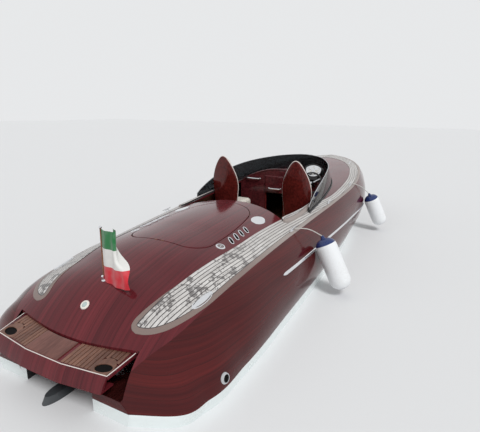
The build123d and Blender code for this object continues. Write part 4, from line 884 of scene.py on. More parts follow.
hatchEdge = hatchHalf(0, 400)
hatchEdge = hatchEdge[hatchEdge[:, 0] > deck["hatchAft"] + 1e-6]
hatchEdge = np.concatenate([[(deck["hatchAft"], deck["hatchFlat"])], hatchEdge])
hatchPatches = slab(hatchEdge * mirror, hatchEdge, onDeck(), deckWall, 0.004, across=36, along=70)
knuckle = {"x": 1.3305, "half": 0.022, "radius": 0.004, "lift": 0.001}
knuckleZ = deckHeight(deck["hatchAft"], 0) + knuckle["lift"]
hatchPatches.append(tube(asPoints(knuckle["x"], np.linspace(-1, 1, 3) * knuckle["half"], knuckleZ),
                         knuckle["radius"]))
buildPiece("engineHatch", hatchPatches, deckMahogany, "hatch", ["engine_hatch"])

# Teak side decks: a rounded tip at each quarter, and the bow where both sides meet
bandShape = {"lift": 0.004, "thick": 0.012, "round": 0.004}
teakInner = [(0.295, 0.574), (0.307, 0.526), (0.330, 0.505), (0.370, 0.503), (0.427, 0.520), (0.523, 0.548),
             (0.727, 0.583), (1.1, 0.630), (1.7, 0.678), (2.3, 0.708), (2.88, 0.756), (3.3, 0.802),
             (3.7, 0.850), (4.1, 0.917), (4.5, 0.965), (5.0, 0.972), (5.5, 0.955), (6.0, 0.912),
             (6.5, 0.830), (6.9, 0.735), (7.25, 0.600), (7.5, 0.455), (7.68, 0.285), (7.77, 0.13), (7.8, 0.0)]
sheerRun = np.array([0.95, 1.3, 1.7, 2.3, 2.9, 3.5, 4.1, 4.7, 5.3, 5.9, 6.5, 7.0, 7.4, 7.7, 7.95, 8.1, 8.2])
tipOuter = [(0.295, 0.574), (0.311, 0.630), (0.344, 0.693), (0.396, 0.754), (0.462, 0.806), (0.586, 0.862),
            (0.75, 0.900)]
teakOuter = tipOuter + list(zip(sheerRun, sheerHalf(sheerRun) - 0.003)) + [(8.27, 0.145), (8.3, 0.06),
                                                                           (8.307, 0.0)]


def distanceTo(points, line):
    # Distance from each point to the nearest of a line's points.
    return np.concatenate([np.sqrt(((part[:, None] - line[None])**2).sum(-1).min(1))
                           for part in np.array_split(points, 12)])


for sideName, side in bothSides:
    along = np.concatenate([np.linspace(0, 0.03, 30), np.linspace(0.03, 1, 230)[1:]])
    inner = pathThrough(teakInner, shares=along)
    outer = pathThrough(teakOuter, shares=along)
    band = slab(inner * [1, side], outer * [1, side], onDeck(bandShape["lift"]), bandShape["thick"],
                bandShape["round"], across=14, along=330, roundEnds=(False, False))
    run = pathThrough(teakInner, 4000)
    border = pathThrough(teakOuter, 6000)
    straight = run[run[:, 0] > 0.55]
    for part in band:
        plan = abs(part["points"][:, :2])
        beside = distanceTo(plan, straight)
        slope = (straight[8] - straight[0]) / np.linalg.norm(straight[8] - straight[0])
        ahead = (plan - straight[0]) @ slope
        beside = np.where(ahead < 0, (plan - straight[0]) @ np.array([-slope[1], slope[0]]), beside)
        thinned = np.clip((plan[:, 0] - 0.32) / 0.55, 0, 1)
        inwards = distanceTo(plan, run) + teakShape["margin"] * thinned**2 * (3 - 2 * thinned)
        part["uv"] = np.stack([beside, np.minimum(distanceTo(plan, border), inwards)], -1)
    buildPiece(f"teakDeck{sideName.capitalize()}", band, deckTeak, replaced=[f"side_deck_{sideName}"])
print("decks built")


def showNode(name, *materials):
    # A finish for a CAD node whose own shape stays.
    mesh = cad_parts[name].data
    mesh.materials.clear()
    for material in materials:
        mesh.materials.append(material)


# CAD nodes that keep their shape and get a finish
for name in ("hatch_landing", "engine_bulkhead", "cuddy_bulkhead", "engine_bearers"):
    showNode(name, bulkheadWood)
for name, material in (("cockpit_sole", soleTeak), ("dashboard", dashMahogany),
                       ("platform_brackets", brushedSteel), ("seat_base_port", ivoryPaint),
                       ("seat_base_starboard", ivoryPaint), ("engine", engineGrey),
                       ("gimbal_housing", driveGrey), ("drive_leg", driveGrey), ("propeller", bronze),
                       ("steering_column", blackRubber), ("gauge_pod", blackRubber),
                       ("dash_cowl", dashMahogany)):
    showNode(name, material)

# Swim platform: a sloping board whose aft edge has a straight middle, a skirt that flares aft below it, and
# slats in two fields beside a plain panel
platform = {"origin": np.array([0.255, 0, 0.462]), "fall": math.radians(8.5), "half": 0.65,
            "aftCorner": (-0.31, 0.612), "aftMiddle": (-0.357, 0.2), "slatThick": 0.009, "board": 0.026,
            "pitch": 0.0365, "seam": 0.007, "panel": (0.135, 0.24), "edging": 0.0036, "skirtDrop": 0.115,
            "skirtOut": 0.062, "skirtThick": 0.022}
fairlead = {"u": -0.258, "v": 0.528, "long": 0.070, "wide": 0.041, "turn": math.radians(-14)}


def onPlatform(lift=0.0):
    # Board places u forward, v sideways and w up, with u and w turned by the board's fall.
    tilt = platform["fall"]

    def place(plan, depth):
        u, v, w = plan[..., 0], plan[..., 1], lift - depth
        return np.stack([platform["origin"][0] + u * math.cos(tilt) - w * math.sin(tilt), v,
                         platform["origin"][2] + u * math.sin(tilt) + w * math.cos(tilt)], -1)
    return place


def platformAft(v):
    # The aft edge's u: straight runs from the middle to the corner and on along the side.
    corner, middle = platform["aftCorner"], platform["aftMiddle"]
    return np.interp(abs(v), [middle[1], corner[1], platform["half"]], [middle[0], corner[0], -0.004])


def platformFront(v):
    # Arc whose ends lie 4 mm and whose middle 130 mm aft of the origin.
    rise = 0.126
    radius = (platform["half"]**2 + rise**2) / (2 * rise)
    return -0.13 + radius - np.sqrt(radius**2 - v**2)


(cornerU, cornerV), middleV = platform["aftCorner"], platform["aftMiddle"][1]
sideEnd = -0.004
v = np.concatenate([np.linspace(-cornerV, -middleV, 24), np.linspace(-middleV, middleV, 16)[1:-1],
                    np.linspace(middleV, cornerV, 24)])
sideU = np.linspace(cornerU, sideEnd - 0.002, 20)
sideV = np.interp(sideU, [cornerU, sideEnd], [cornerV, platform["half"]])
rimU = np.concatenate([sideU[::-1], platformAft(v[::-1])[1:-1], sideU])
rimV = np.concatenate([sideV[::-1], v[::-1][1:-1], -sideV])
frontV = np.interp(np.linspace(0, 1, len(rimU)), [0, 1], [sideV[-1], -sideV[-1]])
boardPatches = slab(np.stack([rimU, rimV], -1), np.stack([platformFront(frontV), frontV], -1),
                    onPlatform(-platform["slatThick"]), platform["board"], 0.003, across=12, along=110,
                    roundEnds=(False, False))
# The skirt follows the aft edge from corner to corner and leans aft as it drops; each crease keeps its edge.
creases = np.array([-cornerV, -middleV, middleV, cornerV])
for low, high in zip(creases[:-1], creases[1:]):
    across = np.linspace(low, high, 14)
    drop = np.linspace(0, 1, 10)[None]
    head = onPlatform(0.0)(np.stack([platformAft(across), across], -1), np.zeros(14))
    lower = head + np.array([-platform["skirtOut"], 0, -platform["skirtDrop"]])
    lower[:, 1] *= 0.985
    front = head[:, None] * (1 - drop[..., None]) + lower[:, None] * drop[..., None]
    front[..., 0] -= 0.006 * np.sin(drop * np.pi)
    boardPatches += shell(front, front + [platform["skirtThick"], 0, 0.0])
    boardPatches += shell(front[:, 8:] + [0, 0, -0.0005], front[:, 8:] + [0.12, 0, -0.0005])
buildPiece("swimPlatform", boardPatches, deckMahogany, replaced=["swim_platform"], crease=28)


def slatRuns(middle, aft, front):
    # A slat that meets the smooth patch round the fairlead starts at the patch's oval:
    # its half-length there is that of the oval, times the square root of 1 less reach squared.
    reach = (abs(middle) - fairlead["v"]) / 0.082
    if abs(reach) >= 1:
        return [(aft, front)]
    half = 0.108 * math.sqrt(1 - reach**2)
    return [(np.full(4, fairlead["u"] + half), front)]


builtSlats = []
fieldEdge = 0.606
for side, panelEdge in ((1, platform["panel"][1]), (-1, platform["panel"][0])):
    for index in range(int((fieldEdge - panelEdge) / platform["pitch"])):
        middle = (fieldEdge - (index + 0.5) * platform["pitch"]) * side
        half = (platform["pitch"] - platform["seam"]) / 2
        across = np.linspace(middle - half, middle + half, 4)
        aft = np.maximum(platformAft(across) + 0.016, -0.36)
        for low, high in slatRuns(middle, aft, platformFront(across) - 0.006):
            if (high - low).min() > 0.01:
                builtSlats += slab(np.stack([low, across], -1), np.stack([high, across], -1), onPlatform(),
                                   platform["slatThick"], 0.0018, across=6, along=4, rim=2)
buildPiece("platformSlats", builtSlats, slatTeak, replaced=["platform_slats"])

across = np.linspace(-platform["panel"][0] + 0.003, platform["panel"][1] - 0.003, 31)
panels = slab(np.stack([platformAft(across) + 0.012, across], -1),
              np.stack([platformFront(across) - 0.006, across], -1), onPlatform(), platform["slatThick"],
              0.002, across=8, along=24)
holes = []
for side in (1, -1):
    # Round the fairlead: a smooth ring from the oval hole to the patch's edge, cut straight at the corner
    angle = np.linspace(0, 2 * np.pi, 72, endpoint=False)
    turn = fairlead["turn"] * side
    oval = np.stack([fairlead["u"] + fairlead["wide"] * np.cos(angle) * math.cos(turn)
                     - fairlead["long"] * np.sin(angle) * math.sin(turn),
                     side * fairlead["v"] + fairlead["wide"] * np.cos(angle) * math.sin(turn)
                     + fairlead["long"] * np.sin(angle) * math.cos(turn)], -1)
    patchEdge = np.stack([fairlead["u"] + 0.104 * np.cos(angle),
                          side * fairlead["v"] + 0.084 * np.sin(angle)], -1)
    widest = np.interp(patchEdge[:, 0], [cornerU, sideEnd], [cornerV - 0.006, platform["half"] - 0.006])
    patchEdge[:, 1] = side * np.minimum(abs(patchEdge[:, 1]), widest)
    patchEdge[:, 0] = np.maximum(patchEdge[:, 0], platformAft(patchEdge[:, 1]) + 0.004)
    share = np.array([0, 0.05, 0.35, 0.7, 0.97, 1.0])
    sunk = np.array([0.003, 0.0, 0.0, 0.0, 0.0, 0.0015])
    plan = oval[:, None] * (1 - share[None, :, None]) + patchEdge[:, None] * share[None, :, None]
    top = onPlatform(0.0005)(plan, np.broadcast_to(sunk, plan.shape[:2]))
    low = onPlatform(0.0005)(plan, np.full(plan.shape[:2], platform["slatThick"]))
    panels += shell(top, low, closedRows=True, part=1, uv=np.full((*plan.shape[:2], 2), 0.2))
    # Below each fairlead a near-black floor and wall: painted shade in the hole.
    rings = np.stack([(oval - oval.mean(0)) * share + oval.mean(0) for share in (0.0, 0.5, 1.0)], 1)
    holes += [patch(onPlatform(sink)(rings, np.zeros((72, 3))), True) for sink in (-0.0075, -0.0085)]
    holes.append(patch(np.stack([onPlatform(-0.0075)(oval, np.zeros(72)),
                                 onPlatform(-0.0085)(oval, np.zeros(72))], 1), True))
buildPiece("platformPanels", panels, [panelWood, slatTeak])
buildPiece("fairleadHollows", holes, blackPrintAndHollowShade)
edgePath = np.stack([rimU, rimV], -1)[2:-2]
edge = tube(onPlatform(0.0015)(edgePath, np.zeros(len(edgePath))), platform["edging"], 8)
buildPiece("platformEdging", [edge], pipingHide)
print("platform built")

# Windscreen: a ruled sheet between its foot curve and its top curve, cut by the deck and by the top line
screen = {"thick": 0.008, "footZ": 0.88, "headZ": 1.405, "rim": 0.005}
screenFoot = np.array([(3.48, 0.932), (4.40, 0.900), (5.30, 0.788), (5.95, 0.590), (6.37, 0.375), (6.61, 0)])
screenHead = np.array([(3.48, 0.912), (4.30, 0.868), (5.00, 0.752), (5.52, 0.555), (5.86, 0.340), (6.05, 0)])


def wrapRound(half):
    # The half curve mirrored to starboard, then back along port from its last point but one.
    return np.concatenate([half * mirror, half[-2::-1]])


knots = np.arange(11.0)
wanted = np.linspace(0, 10, 221)
footPlan = curveThrough(knots, wrapRound(screenFoot), wanted)
headPlan = curveThrough(knots, wrapRound(screenHead), wanted)
topArc = pathThrough([(3.42, 0.905), (3.55, 0.985), (3.70, 1.050), (3.9, 1.122), (4.25, 1.205), (4.6, 1.262),
                      (5.2, 1.325), (6.06, 1.385)], 400)


def onScreen(z):
    # Each line of the sheet is straight: foot (1 - share) + head share, share rising with z.
    share = ((z - screen["footZ"]) / (screen["headZ"] - screen["footZ"]))[..., None]
    return footPlan.reshape(-1, *([1] * (z.ndim - 1)), 2) * (1 - share) + \
        headPlan.reshape(-1, *([1] * (z.ndim - 1)), 2) * share


low = np.full(len(wanted), 1.0)
high = np.full(len(wanted), 1.3)
for step in range(40):
    plan = onScreen(low)
    low = deckHeight(plan[:, 0], plan[:, 1]) + 0.004
    plan = onScreen(high)
    high = high * 0.5 + 0.5 * np.interp(plan[:, 0], topArc[:, 0], topArc[:, 1])
high = np.maximum(high, low + 0.02)
glassZ = low[:, None] + (high - low)[:, None] * np.linspace(0, 1, 18)[None]
glassPlan = onScreen(glassZ)
alongGlass = np.gradient(footPlan, axis=0)
outward = np.stack([alongGlass[:, 1], -alongGlass[:, 0]], -1)
outward /= np.linalg.norm(outward, axis=1)[:, None]
outward *= np.sign((outward * (footPlan - [4.5, 0])).sum(1))[:, None]
middleSheet = np.concatenate([glassPlan, glassZ[..., None]], -1)
away = np.concatenate([outward, np.zeros((len(outward), 1))], -1)[:, None] * screen["thick"] / 2
buildPiece("windscreenGlass", shell(middleSheet + away, middleSheet - away), tintedGlass,
           replaced=["windscreen_glass"])
topEdge = middleSheet[:, -1] + [0, 0, 0.002]
footEdge = middleSheet[:, 0]
trim = [tube(topEdge, screen["rim"], 10, upright=(0, 0, 1), flat=0.9)]
buildPiece("windscreenRim", trim, brushedSteel)
channelPatches = []
for face in (1, -1):
    offset = away * (1 + 0.002 / (screen["thick"] / 2))
    start = footEdge + face * offset[:, 0]
    profile = np.array([(0.0, -0.006), (0.0, 0.016), (0.004, 0.0175), (0.0085, 0.014), (0.0125, 0.0045),
                        (0.0135, -0.006)])
    wall = start[:, None] + face * (away[:, 0] / (screen["thick"] / 2))[:, None] * profile[None, :, :1]
    wall[..., 2] += profile[None, :, 1]
    channelPatches += [patch(wall, False, True)]
    for end in (0, -1):
        channelPatches.append(patch(np.stack([wall[end, :3], wall[end, :2:-1]], 1)))
buildPiece("windscreenChannel", channelPatches, blackRubber, replaced=["windscreen_channel"])
print("windscreen built")

# Seats: a leaning arch, wrapped forward at its edges, with piping; the cushions come after
seat = {"x": 3.76, "half": 0.612, "foot": 0.2834, "apex": 1.53, "lean": math.radians(6), "thick": 0.03,
        "wrap": 0.9, "piping": 0.009}
seatRise = (seat["apex"] - seat["foot"]) / math.cos(seat["lean"])
seatOutline = np.array([(0, 0.186), (0.25, 0.188), (0.47, 0.200), (0.64, 0.219), (0.781, 0.230),
                        (0.90, 0.215), (1.03, 0.172), (1.12, 0.128), (1.19, 0.083), (1.232, 0.048),
                        (1.2490, 0.020), (1.2525, 0.0)])


def onSeat(side, lift=0.0, wrap=None):
    # The seat's plane leans aft; wrap times across squared bends its edges forward.
    sine, cosine = math.sin(seat["lean"]), math.cos(seat["lean"])
    originX = seat["x"] + seatRise * sine
    wrap = seat["wrap"] if wrap is None else wrap

    def place(plan, depth):
        up, across = plan[..., 0], plan[..., 1]
        out = lift - depth + wrap * across**2
        return np.stack([originX - up * sine + out * cosine, side * seat["half"] + across,
                         seat["foot"] + up * cosine + out * sine], -1)
    return place


for sideName, side in bothSides:
    edge = pathThrough(seatOutline, 160)
    forward = onSeat(side, -seat["thick"])

    def fromBehind(plan, depth, forward=forward):
        # The same plane, with the depth counted the other way.
        return forward(plan, -depth)
    back = slab(edge * mirror, edge, fromBehind, seat["thick"] - 0.003, 0.016, across=16, along=70,
                roundEnds=(False, True))
    buildPiece(f"seatBack{sideName.capitalize()}", back, seatLacquer,
               replaced=[f"seat_shell_{sideName}"])
    loop = np.concatenate([edge * mirror, edge[-2::-1]])
    piping = [tube(onSeat(side, -0.004)(loop * [1, 0.985], np.zeros(len(loop))), seat["piping"], 10,
                   upright=(1, 0, 0.1))]
    buildPiece(f"seatPiping{sideName.capitalize()}", piping, pipingHide)


def puff(name, start, cap, voxel, replaced, pressure=4.0):
    # A cushion: the start shape is remeshed, blown up as cloth with no weight, and each point moves no
    # further than the cap.
    source = buildPiece(name + "Start", start, ivoryHide)
    remesh = source.modifiers.new("Remesh", "REMESH")
    remesh.mode, remesh.voxel_size = "VOXEL", voxel
    depsgraph = bpy.context.evaluated_depsgraph_get()
    mesh = bpy.data.meshes.new_from_object(source.evaluated_get(depsgraph))
    oldMesh = source.data
    bpy.data.objects.remove(source)
    bpy.data.meshes.remove(oldMesh)
    mesh.name = name
    cushion = bpy.data.objects.new(name, mesh)
    bpy.context.scene.collection.objects.link(cushion)
    count = len(mesh.vertices)
    rest = np.zeros(count * 3, np.float32)
    mesh.vertices.foreach_get("co", rest)
    cloth = cushion.modifiers.new("Cloth", "CLOTH")
    cloth.settings.use_pressure = True
    cloth.settings.uniform_pressure_force = pressure
    cloth.settings.effector_weights.gravity = 0
    cloth.point_cache.frame_start, cloth.point_cache.frame_end = 1, 20
    for step in range(1, 21):
        bpy.context.scene.frame_set(step)
    swollen = np.zeros(count * 3, np.float32)
    evaluated = cushion.evaluated_get(bpy.context.evaluated_depsgraph_get())
    evaluated.data.vertices.foreach_get("co", swollen)
    moved = (swollen - rest).reshape(-1, 3)
    size = np.linalg.norm(moved, axis=1)
    moved *= (np.minimum(size, cap) / np.maximum(size, 1e-9))[:, None]
    cushion.modifiers.clear()
    mesh.vertices.foreach_set("co", (rest.reshape(-1, 3) + moved).ravel())
    bpy.context.scene.frame_set(1)
    mesh.polygons.foreach_set("use_smooth", np.ones(len(mesh.polygons), bool))
    mesh.materials.clear()
    mesh.materials.append(ivoryHide)
    smooth = cushion.modifiers.new("Soften", "SUBSURF")
    smooth.levels = smooth.render_levels = 1
    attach(cushion, "hull")
    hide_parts(*replaced)
    return cushion


def pipeOn(name, cushion, guide, upright, radius=0.0045):
    # Piping: each guide point goes to the cushion's nearest point, and the loop is averaged over nine points.
    flat = np.zeros(len(cushion.data.vertices) * 3, np.float32)
    cushion.data.vertices.foreach_get("co", flat)
    skin = flat.reshape(-1, 3)
    near = np.concatenate([skin[((part[:, None] - skin[None])**2).sum(-1).argmin(1)]
                           for part in np.array_split(guide, 10)])
    smooth = sum(np.roll(near, k, 0) for k in range(-4, 5)) / 9
    buildPiece(name, [tube(smooth, radius, 8, upright=upright, closed=True)], pipingHide,
               shift=False)


cushionShape = {"top": 0.760, "thick": 0.115, "length": 0.50, "half": 0.24, "round": 0.045, "voxel": 0.009,
                "cap": 0.014}
for sideName, side in bothSides:
    x0 = seat["x"] + 0.125
    v = np.linspace(-1, 1, 41)
    halfAt = cushionShape["half"] * (1 - 0.03 * v**2)
    pinch = (1 - abs(v) ** 12) ** (1 / 6)
    plan = np.stack([x0 + 0.012 + (v + 1) / 2 * cushionShape["length"], np.maximum(halfAt * pinch, 0.05)], -1)

    def onCushion(grid, depth, side=side):
        # Level places below the cushion's top.
        return np.stack([grid[..., 0], grid[..., 1] + side * seat["half"], cushionShape["top"] - 0.012
                         - depth], -1)
    block = slab(plan * mirror, plan, onCushion, cushionShape["thick"] - 0.02, cushionShape["round"],
                 across=12, along=30)
    cushion = puff(f"seatCushion{sideName.capitalize()}", block, cushionShape["cap"], cushionShape["voxel"],
                   [f"seat_cushion_{sideName}"])
    outline = pathThrough(np.concatenate([plan * mirror, plan[::-1], plan[:1] * mirror]), 160)[:-1]
    guide = onCushion(outline, np.full(159, 0.016)) - [halfLength, 0, 0]
    pipeOn(f"cushionPiping{sideName.capitalize()}", cushion, guide, (0, 0, 1))
    backEdge = pathThrough(seatOutline, 80)
    backEdge = backEdge[(backEdge[:, 0] > 0.50) & (backEdge[:, 0] < 1.225)] * [1, 0.90]
    pad = slab(backEdge * mirror, backEdge, onSeat(side, 0.066, 0.75), 0.062, 0.026, across=12, along=40)
    cushion = puff(f"backCushion{sideName.capitalize()}", pad, 0.008, cushionShape["voxel"],
                   [f"back_cushion_{sideName}"])
    outline = pathThrough(np.concatenate([backEdge * mirror, backEdge[::-1], backEdge[:1] * mirror]),
                          200)[:-1]
    guide = onSeat(side, 0.058, 0.75)(outline, np.zeros(199)) - [halfLength, 0, 0]
    pipeOn(f"backPiping{sideName.capitalize()}", cushion, guide, (1, 0, 0.1))
print("seats built")

# Coaming: teak cap rails with a rounded aft nose
padShape = {"lift": 0.036, "thick": 0.038, "round": 0.014}
padInner = [(2.828, 0.812), (2.836, 0.785), (2.87, 0.764), (2.93, 0.765), (3.2, 0.799), (3.5, 0.828),
            (3.8, 0.841), (4.1, 0.844)]
padOuter = [(2.828, 0.812), (2.836, 0.835), (2.865, 0.853), (2.93, 0.865), (3.2, 0.895), (3.48, 0.903),
            (3.8, 0.895), (4.1, 0.872)]
for sideName, side in bothSides:
    rail = slab(pathThrough(padInner, 120) * [1, side], pathThrough(padOuter, 120) * [1, side],
                onDeck(padShape["lift"]), padShape["thick"], padShape["round"], across=8, along=90,
                roundEnds=(False, True))
    buildPiece(f"coamingRail{sideName.capitalize()}", rail, deckTeak,
               replaced=[f"coaming_pad_{sideName}"])

# Dashboard fittings: padded lip, handles, gauges, wheel
dash = {"x": 4.76, "half": 0.79, "top": 1.235, "lip": 0.014}
edgeZ = deckHeight(dash["x"], dash["half"])
lipArc = arcThrough((-dash["half"], edgeZ), (0, dash["top"]), (dash["half"], edgeZ), 80)
lipPath = asPoints(dash["x"] + 0.004, lipArc[:, 0], lipArc[:, 1])
buildPiece("dashLip", [tube(lipPath, dash["lip"], 12)], dashMahogany)
console = {"left": 0.292, "right": -0.052, "low": 0.812, "high": 1.115, "proud": 0.035, "round": 0.012}


def onConsole(plan, depth):
    # Upright places sunk forward from the console's face.
    return asPoints(dash["x"] - console["proud"] + depth, plan[..., 0], plan[..., 1])


height = np.linspace(console["low"], console["high"], 30)
ease = 0.03 * (1 - np.sqrt(1 - np.clip((console["low"] + 0.03 - height) / 0.03, 0, 1)**2))
block = slab(np.stack([console["right"] + ease, height], -1), np.stack([console["left"] - ease, height], -1),
             onConsole, console["proud"] + 0.004, console["round"], across=8, along=16)
buildPiece("dashConsole", block, dashMahogany)
jamb = asPoints(dash["x"] - 0.004, 0.286, np.linspace(0.34, 0.80, 12))
buildPiece("cuddyFrame", [tube(jamb * [1, sign, 1] + [0, shift, 0], 0.009, 10, upright=(0, 1, 0))
                          for sign, shift in ((1, 0), (-1, 0.219))], seatLacquer)
grab = {"rows": ((0.54, 1.04, dash["x"], 0.13), (0.10, 0.89, dash["x"] - console["proud"], 0.112)),
        "reach": 0.042, "radius": 0.010}
handles = []
for y, z, base, half in grab["rows"]:
    angle = np.linspace(0, np.pi, 33)
    path = asPoints(base - grab["reach"] * abs(np.sin(angle)) ** 0.45,
                    y + half * np.sign(np.cos(angle)) * abs(np.cos(angle)) ** 0.45, z)
    handles.append(tube(path, grab["radius"], 12, flat=1.25))
    for side in (1, -1):
        handles.append(lathe([(0, 0.007, 0), (0.017, 0.007, 0.004), (0.017, -0.001, 0), (0, -0.001, 0)],
                             (base, y + side * half, z), (-1, 0, 0), 20, (0, 1, 0)))
buildPiece("dashHandles", handles, chrome, replaced=["dash_handles"])

# Each dial: across, down, radius
gauge = {"origin": np.array([4.70, -0.60, 1.27]),
         "dials": ((-0.055, 0.012, 0.036), (0.055, 0.012, 0.036), (0.0, -0.052, 0.022),
                   (-0.088, -0.036, 0.016), (0.088, -0.036, 0.016), (0.0, 0.058, 0.018))}
gaugeOut = np.array([-0.94, 0, 0.34]) / math.hypot(0.94, 0.34)
gaugeDown = np.cross(gaugeOut, [0, 1, 0])


def onGauge(lift=0.0):
    # origin + across y + down the panel + lift less depth along its normal
    def place(plan, depth):
        return (gauge["origin"] + plan[..., :1] * np.array([0, 1.0, 0]) + plan[..., 1:] * gaugeDown
                + (lift - depth)[..., None] * gaugeOut)
    return place


faceTop = np.concatenate([arcThrough((-0.125, -0.05), (-0.094, 0.0625), (0, 0.094), 30),
                          arcThrough((0, 0.094), (0.094, 0.0625), (0.125, -0.05), 30)[1:]])
faceLow = arcThrough((-0.125, -0.05), (0, -0.094), (0.125, -0.05), 59)
panel = slab(faceTop, faceLow, onGauge(0.0065), 0.006, 0.002, across=10, along=50)
buildPiece("gaugePanel", panel, gaugeSilver, replaced=["gauge_panel"])
dials, faces, hands = [], [], []
for y, down, size in gauge["dials"]:
    centre = onGauge(0.0065)(np.array([y, down]), np.zeros(()))
    dials.append(lathe([(size * 0.86, 0.0, 0), (size * 0.86, 0.0045, 0.001), (size, 0.0045, 0.002),
                        (size * 1.04, 0.0, 0), (size * 0.86, 0.0, 0)], centre, gaugeOut, 32, (0, 1, 0)))
    faces.append(turned([(0, 0.0012), (size * 0.88, 0.0012), (size * 0.88, 0.0), (0, 0.0)], centre, gaugeOut,
                        32, (0, 1, 0)))
    for mark in np.radians(np.linspace(-130, 130, 9)):
        tick = np.array([math.sin(mark), -math.cos(mark)]) * size
        path = onGauge(0.0082)(np.array([y, down]) + np.linspace(0.62, 0.8, 3)[:, None] * tick, np.zeros(3))
        hands.append(tube(path, size * 0.022, 4, upright=gaugeOut))
    needle = np.array([math.sin(-1.9), -math.cos(-1.9)]) * size
    path = onGauge(0.0088)(np.array([y, down]) + np.linspace(-0.1, 0.6, 4)[:, None] * needle, np.zeros(4))
    hands.append(tube(path, size * 0.03, 5, upright=gaugeOut))
buildPiece("gaugeBezels", dials, chrome)
buildPiece("gaugeFaces", faces, whiteDial)
buildPiece("gaugeHands", hands, blackPrintAndHollowShade)

wheel = {"origin": np.array([4.56, -0.612, 1.09]), "radius": 0.175, "rim": 0.0128, "tilt": math.radians(25)}
wheelOut = np.array([-math.cos(wheel["tilt"]), 0, math.sin(wheel["tilt"])])
wheelDown = np.cross(wheelOut, [0, 1, 0])


def onWheel(across, down, out):
    # origin + across y + down the wheel's plane + out along its normal
    return (wheel["origin"] + np.multiply.outer(across, [0, 1.0, 0]) + np.multiply.outer(down, wheelDown)
            + np.multiply.outer(out, wheelOut))


angle = np.linspace(0, 2 * np.pi, 96, endpoint=False)
rimPath = onWheel(wheel["radius"] * np.cos(angle), wheel["radius"] * np.sin(angle), np.zeros(96))
wheelParts = [tube(rimPath, wheel["rim"], 16, upright=wheelOut, closed=True,
                   lobes=lambda s, a: 0.05 * np.cos(a + np.pi) * (np.sin(s * 2 * np.pi * 8 / 96) > 0.2))]
for spoke in np.radians([90, 210, 330]):
    run = np.linspace(0.02, wheel["radius"] - 0.004, 14)
    sink = -0.034 * (1 - run / wheel["radius"]) ** 1.5
    path = onWheel(run * math.cos(spoke), run * math.sin(spoke), sink)
    wheelParts.append(tube(path, 0.0125 - 0.004 * np.linspace(0, 1, 14), 12, upright=wheelOut, flat=0.32,
                           part=1))
wheelParts.append(lathe([(0, 0.006, 0), (0.030, 0.004, 0.008), (0.034, -0.02, 0.003), (0.026, -0.04, 0.002),
                         (0, -0.04, 0)], wheel["origin"], wheelOut, 32, (0, 1, 0), part=2))
wheelParts.append(lathe([(0, 0.010, 0), (0.017, 0.0095, 0.003), (0.018, 0.004, 0), (0, 0.004, 0)],
                        wheel["origin"], wheelOut, 24, (0, 1, 0), part=1))
buildPiece("steeringWheel", wheelParts, [blackHide, brushedSteel, blackRubber], "helm",
           ["steering_wheel"])
print("dashboard built")

# Chrome strips along the sides, half-round, tapering at both ends
strip = {"from": 1.93, "to": 7.55, "z": 0.548, "half": 0.013, "proud": 0.0135}
stripX = np.linspace(strip["from"], strip["to"], 180)
taper = np.sqrt(np.clip(np.minimum(stripX - strip["from"], strip["to"] - stripX) / 0.05, 0.0, 1))
for sideName, side in bothSides:
    angle = np.linspace(-np.pi / 2, np.pi / 2, 9)
    z = strip["z"] + strip["half"] * np.sin(angle)[None] * np.maximum(taper, 0.1)[:, None]
    skin = sideHalf(np.broadcast_to(stripX[:, None], z.shape), z)
    front = asPoints(stripX[:, None],
                     side * (skin + strip["proud"] * np.cos(angle)[None] * taper[:, None] + 0.0005), z)
    back = asPoints(stripX[:, None], side * (skin - 0.004), z)
    buildPiece(f"rubStrip{sideName.capitalize()}", shell(front, back), chrome,
               replaced=[f"rub_strip_{sideName}"])

# Deck fittings
louvre = {"from": 1.815, "pitch": 0.12, "count": 4, "y": 0.59, "long": 0.064, "wide": 0.020, "rim": 0.0050,
          "rake": math.radians(40)}
louvreRims, louvreInsides = [], []
for side in (1, -1):
    for index in range(louvre["count"]):
        origin, ahead, sideways, out = deckFrame(louvre["from"] + index * louvre["pitch"], side * louvre["y"])
        angle = np.linspace(0, 2 * np.pi, 40, endpoint=False)
        a = louvre["wide"] * np.sign(np.cos(angle)) * abs(np.cos(angle)) ** 0.7
        b = louvre["long"] * np.sign(np.sin(angle)) * abs(np.sin(angle)) ** 0.75
        outboard = side * sideways * math.cos(louvre["rake"]) - ahead * math.sin(louvre["rake"])
        across = np.cross(outboard, out)
        loop = origin + a[:, None] * across + b[:, None] * outboard + 0.002 * out
        louvreRims.append(tube(loop, louvre["rim"], 8, upright=out, closed=True))
        # A near-black oval sheet inside each rim: painted shade in the vent.
        hollow = [(0, 0.0008), (0.8, 0.0008), (0.98, 0.001), (0.98, -0.002), (0, -0.002)]
        louvreInsides.append(turned(hollow, origin, out, 32, across,
                                    (louvre["wide"], louvre["long"])))
buildPiece("louvreRims", louvreRims, chrome, replaced=["louvres"])
buildPiece("louvreInsides", louvreInsides, blackPrintAndHollowShade)

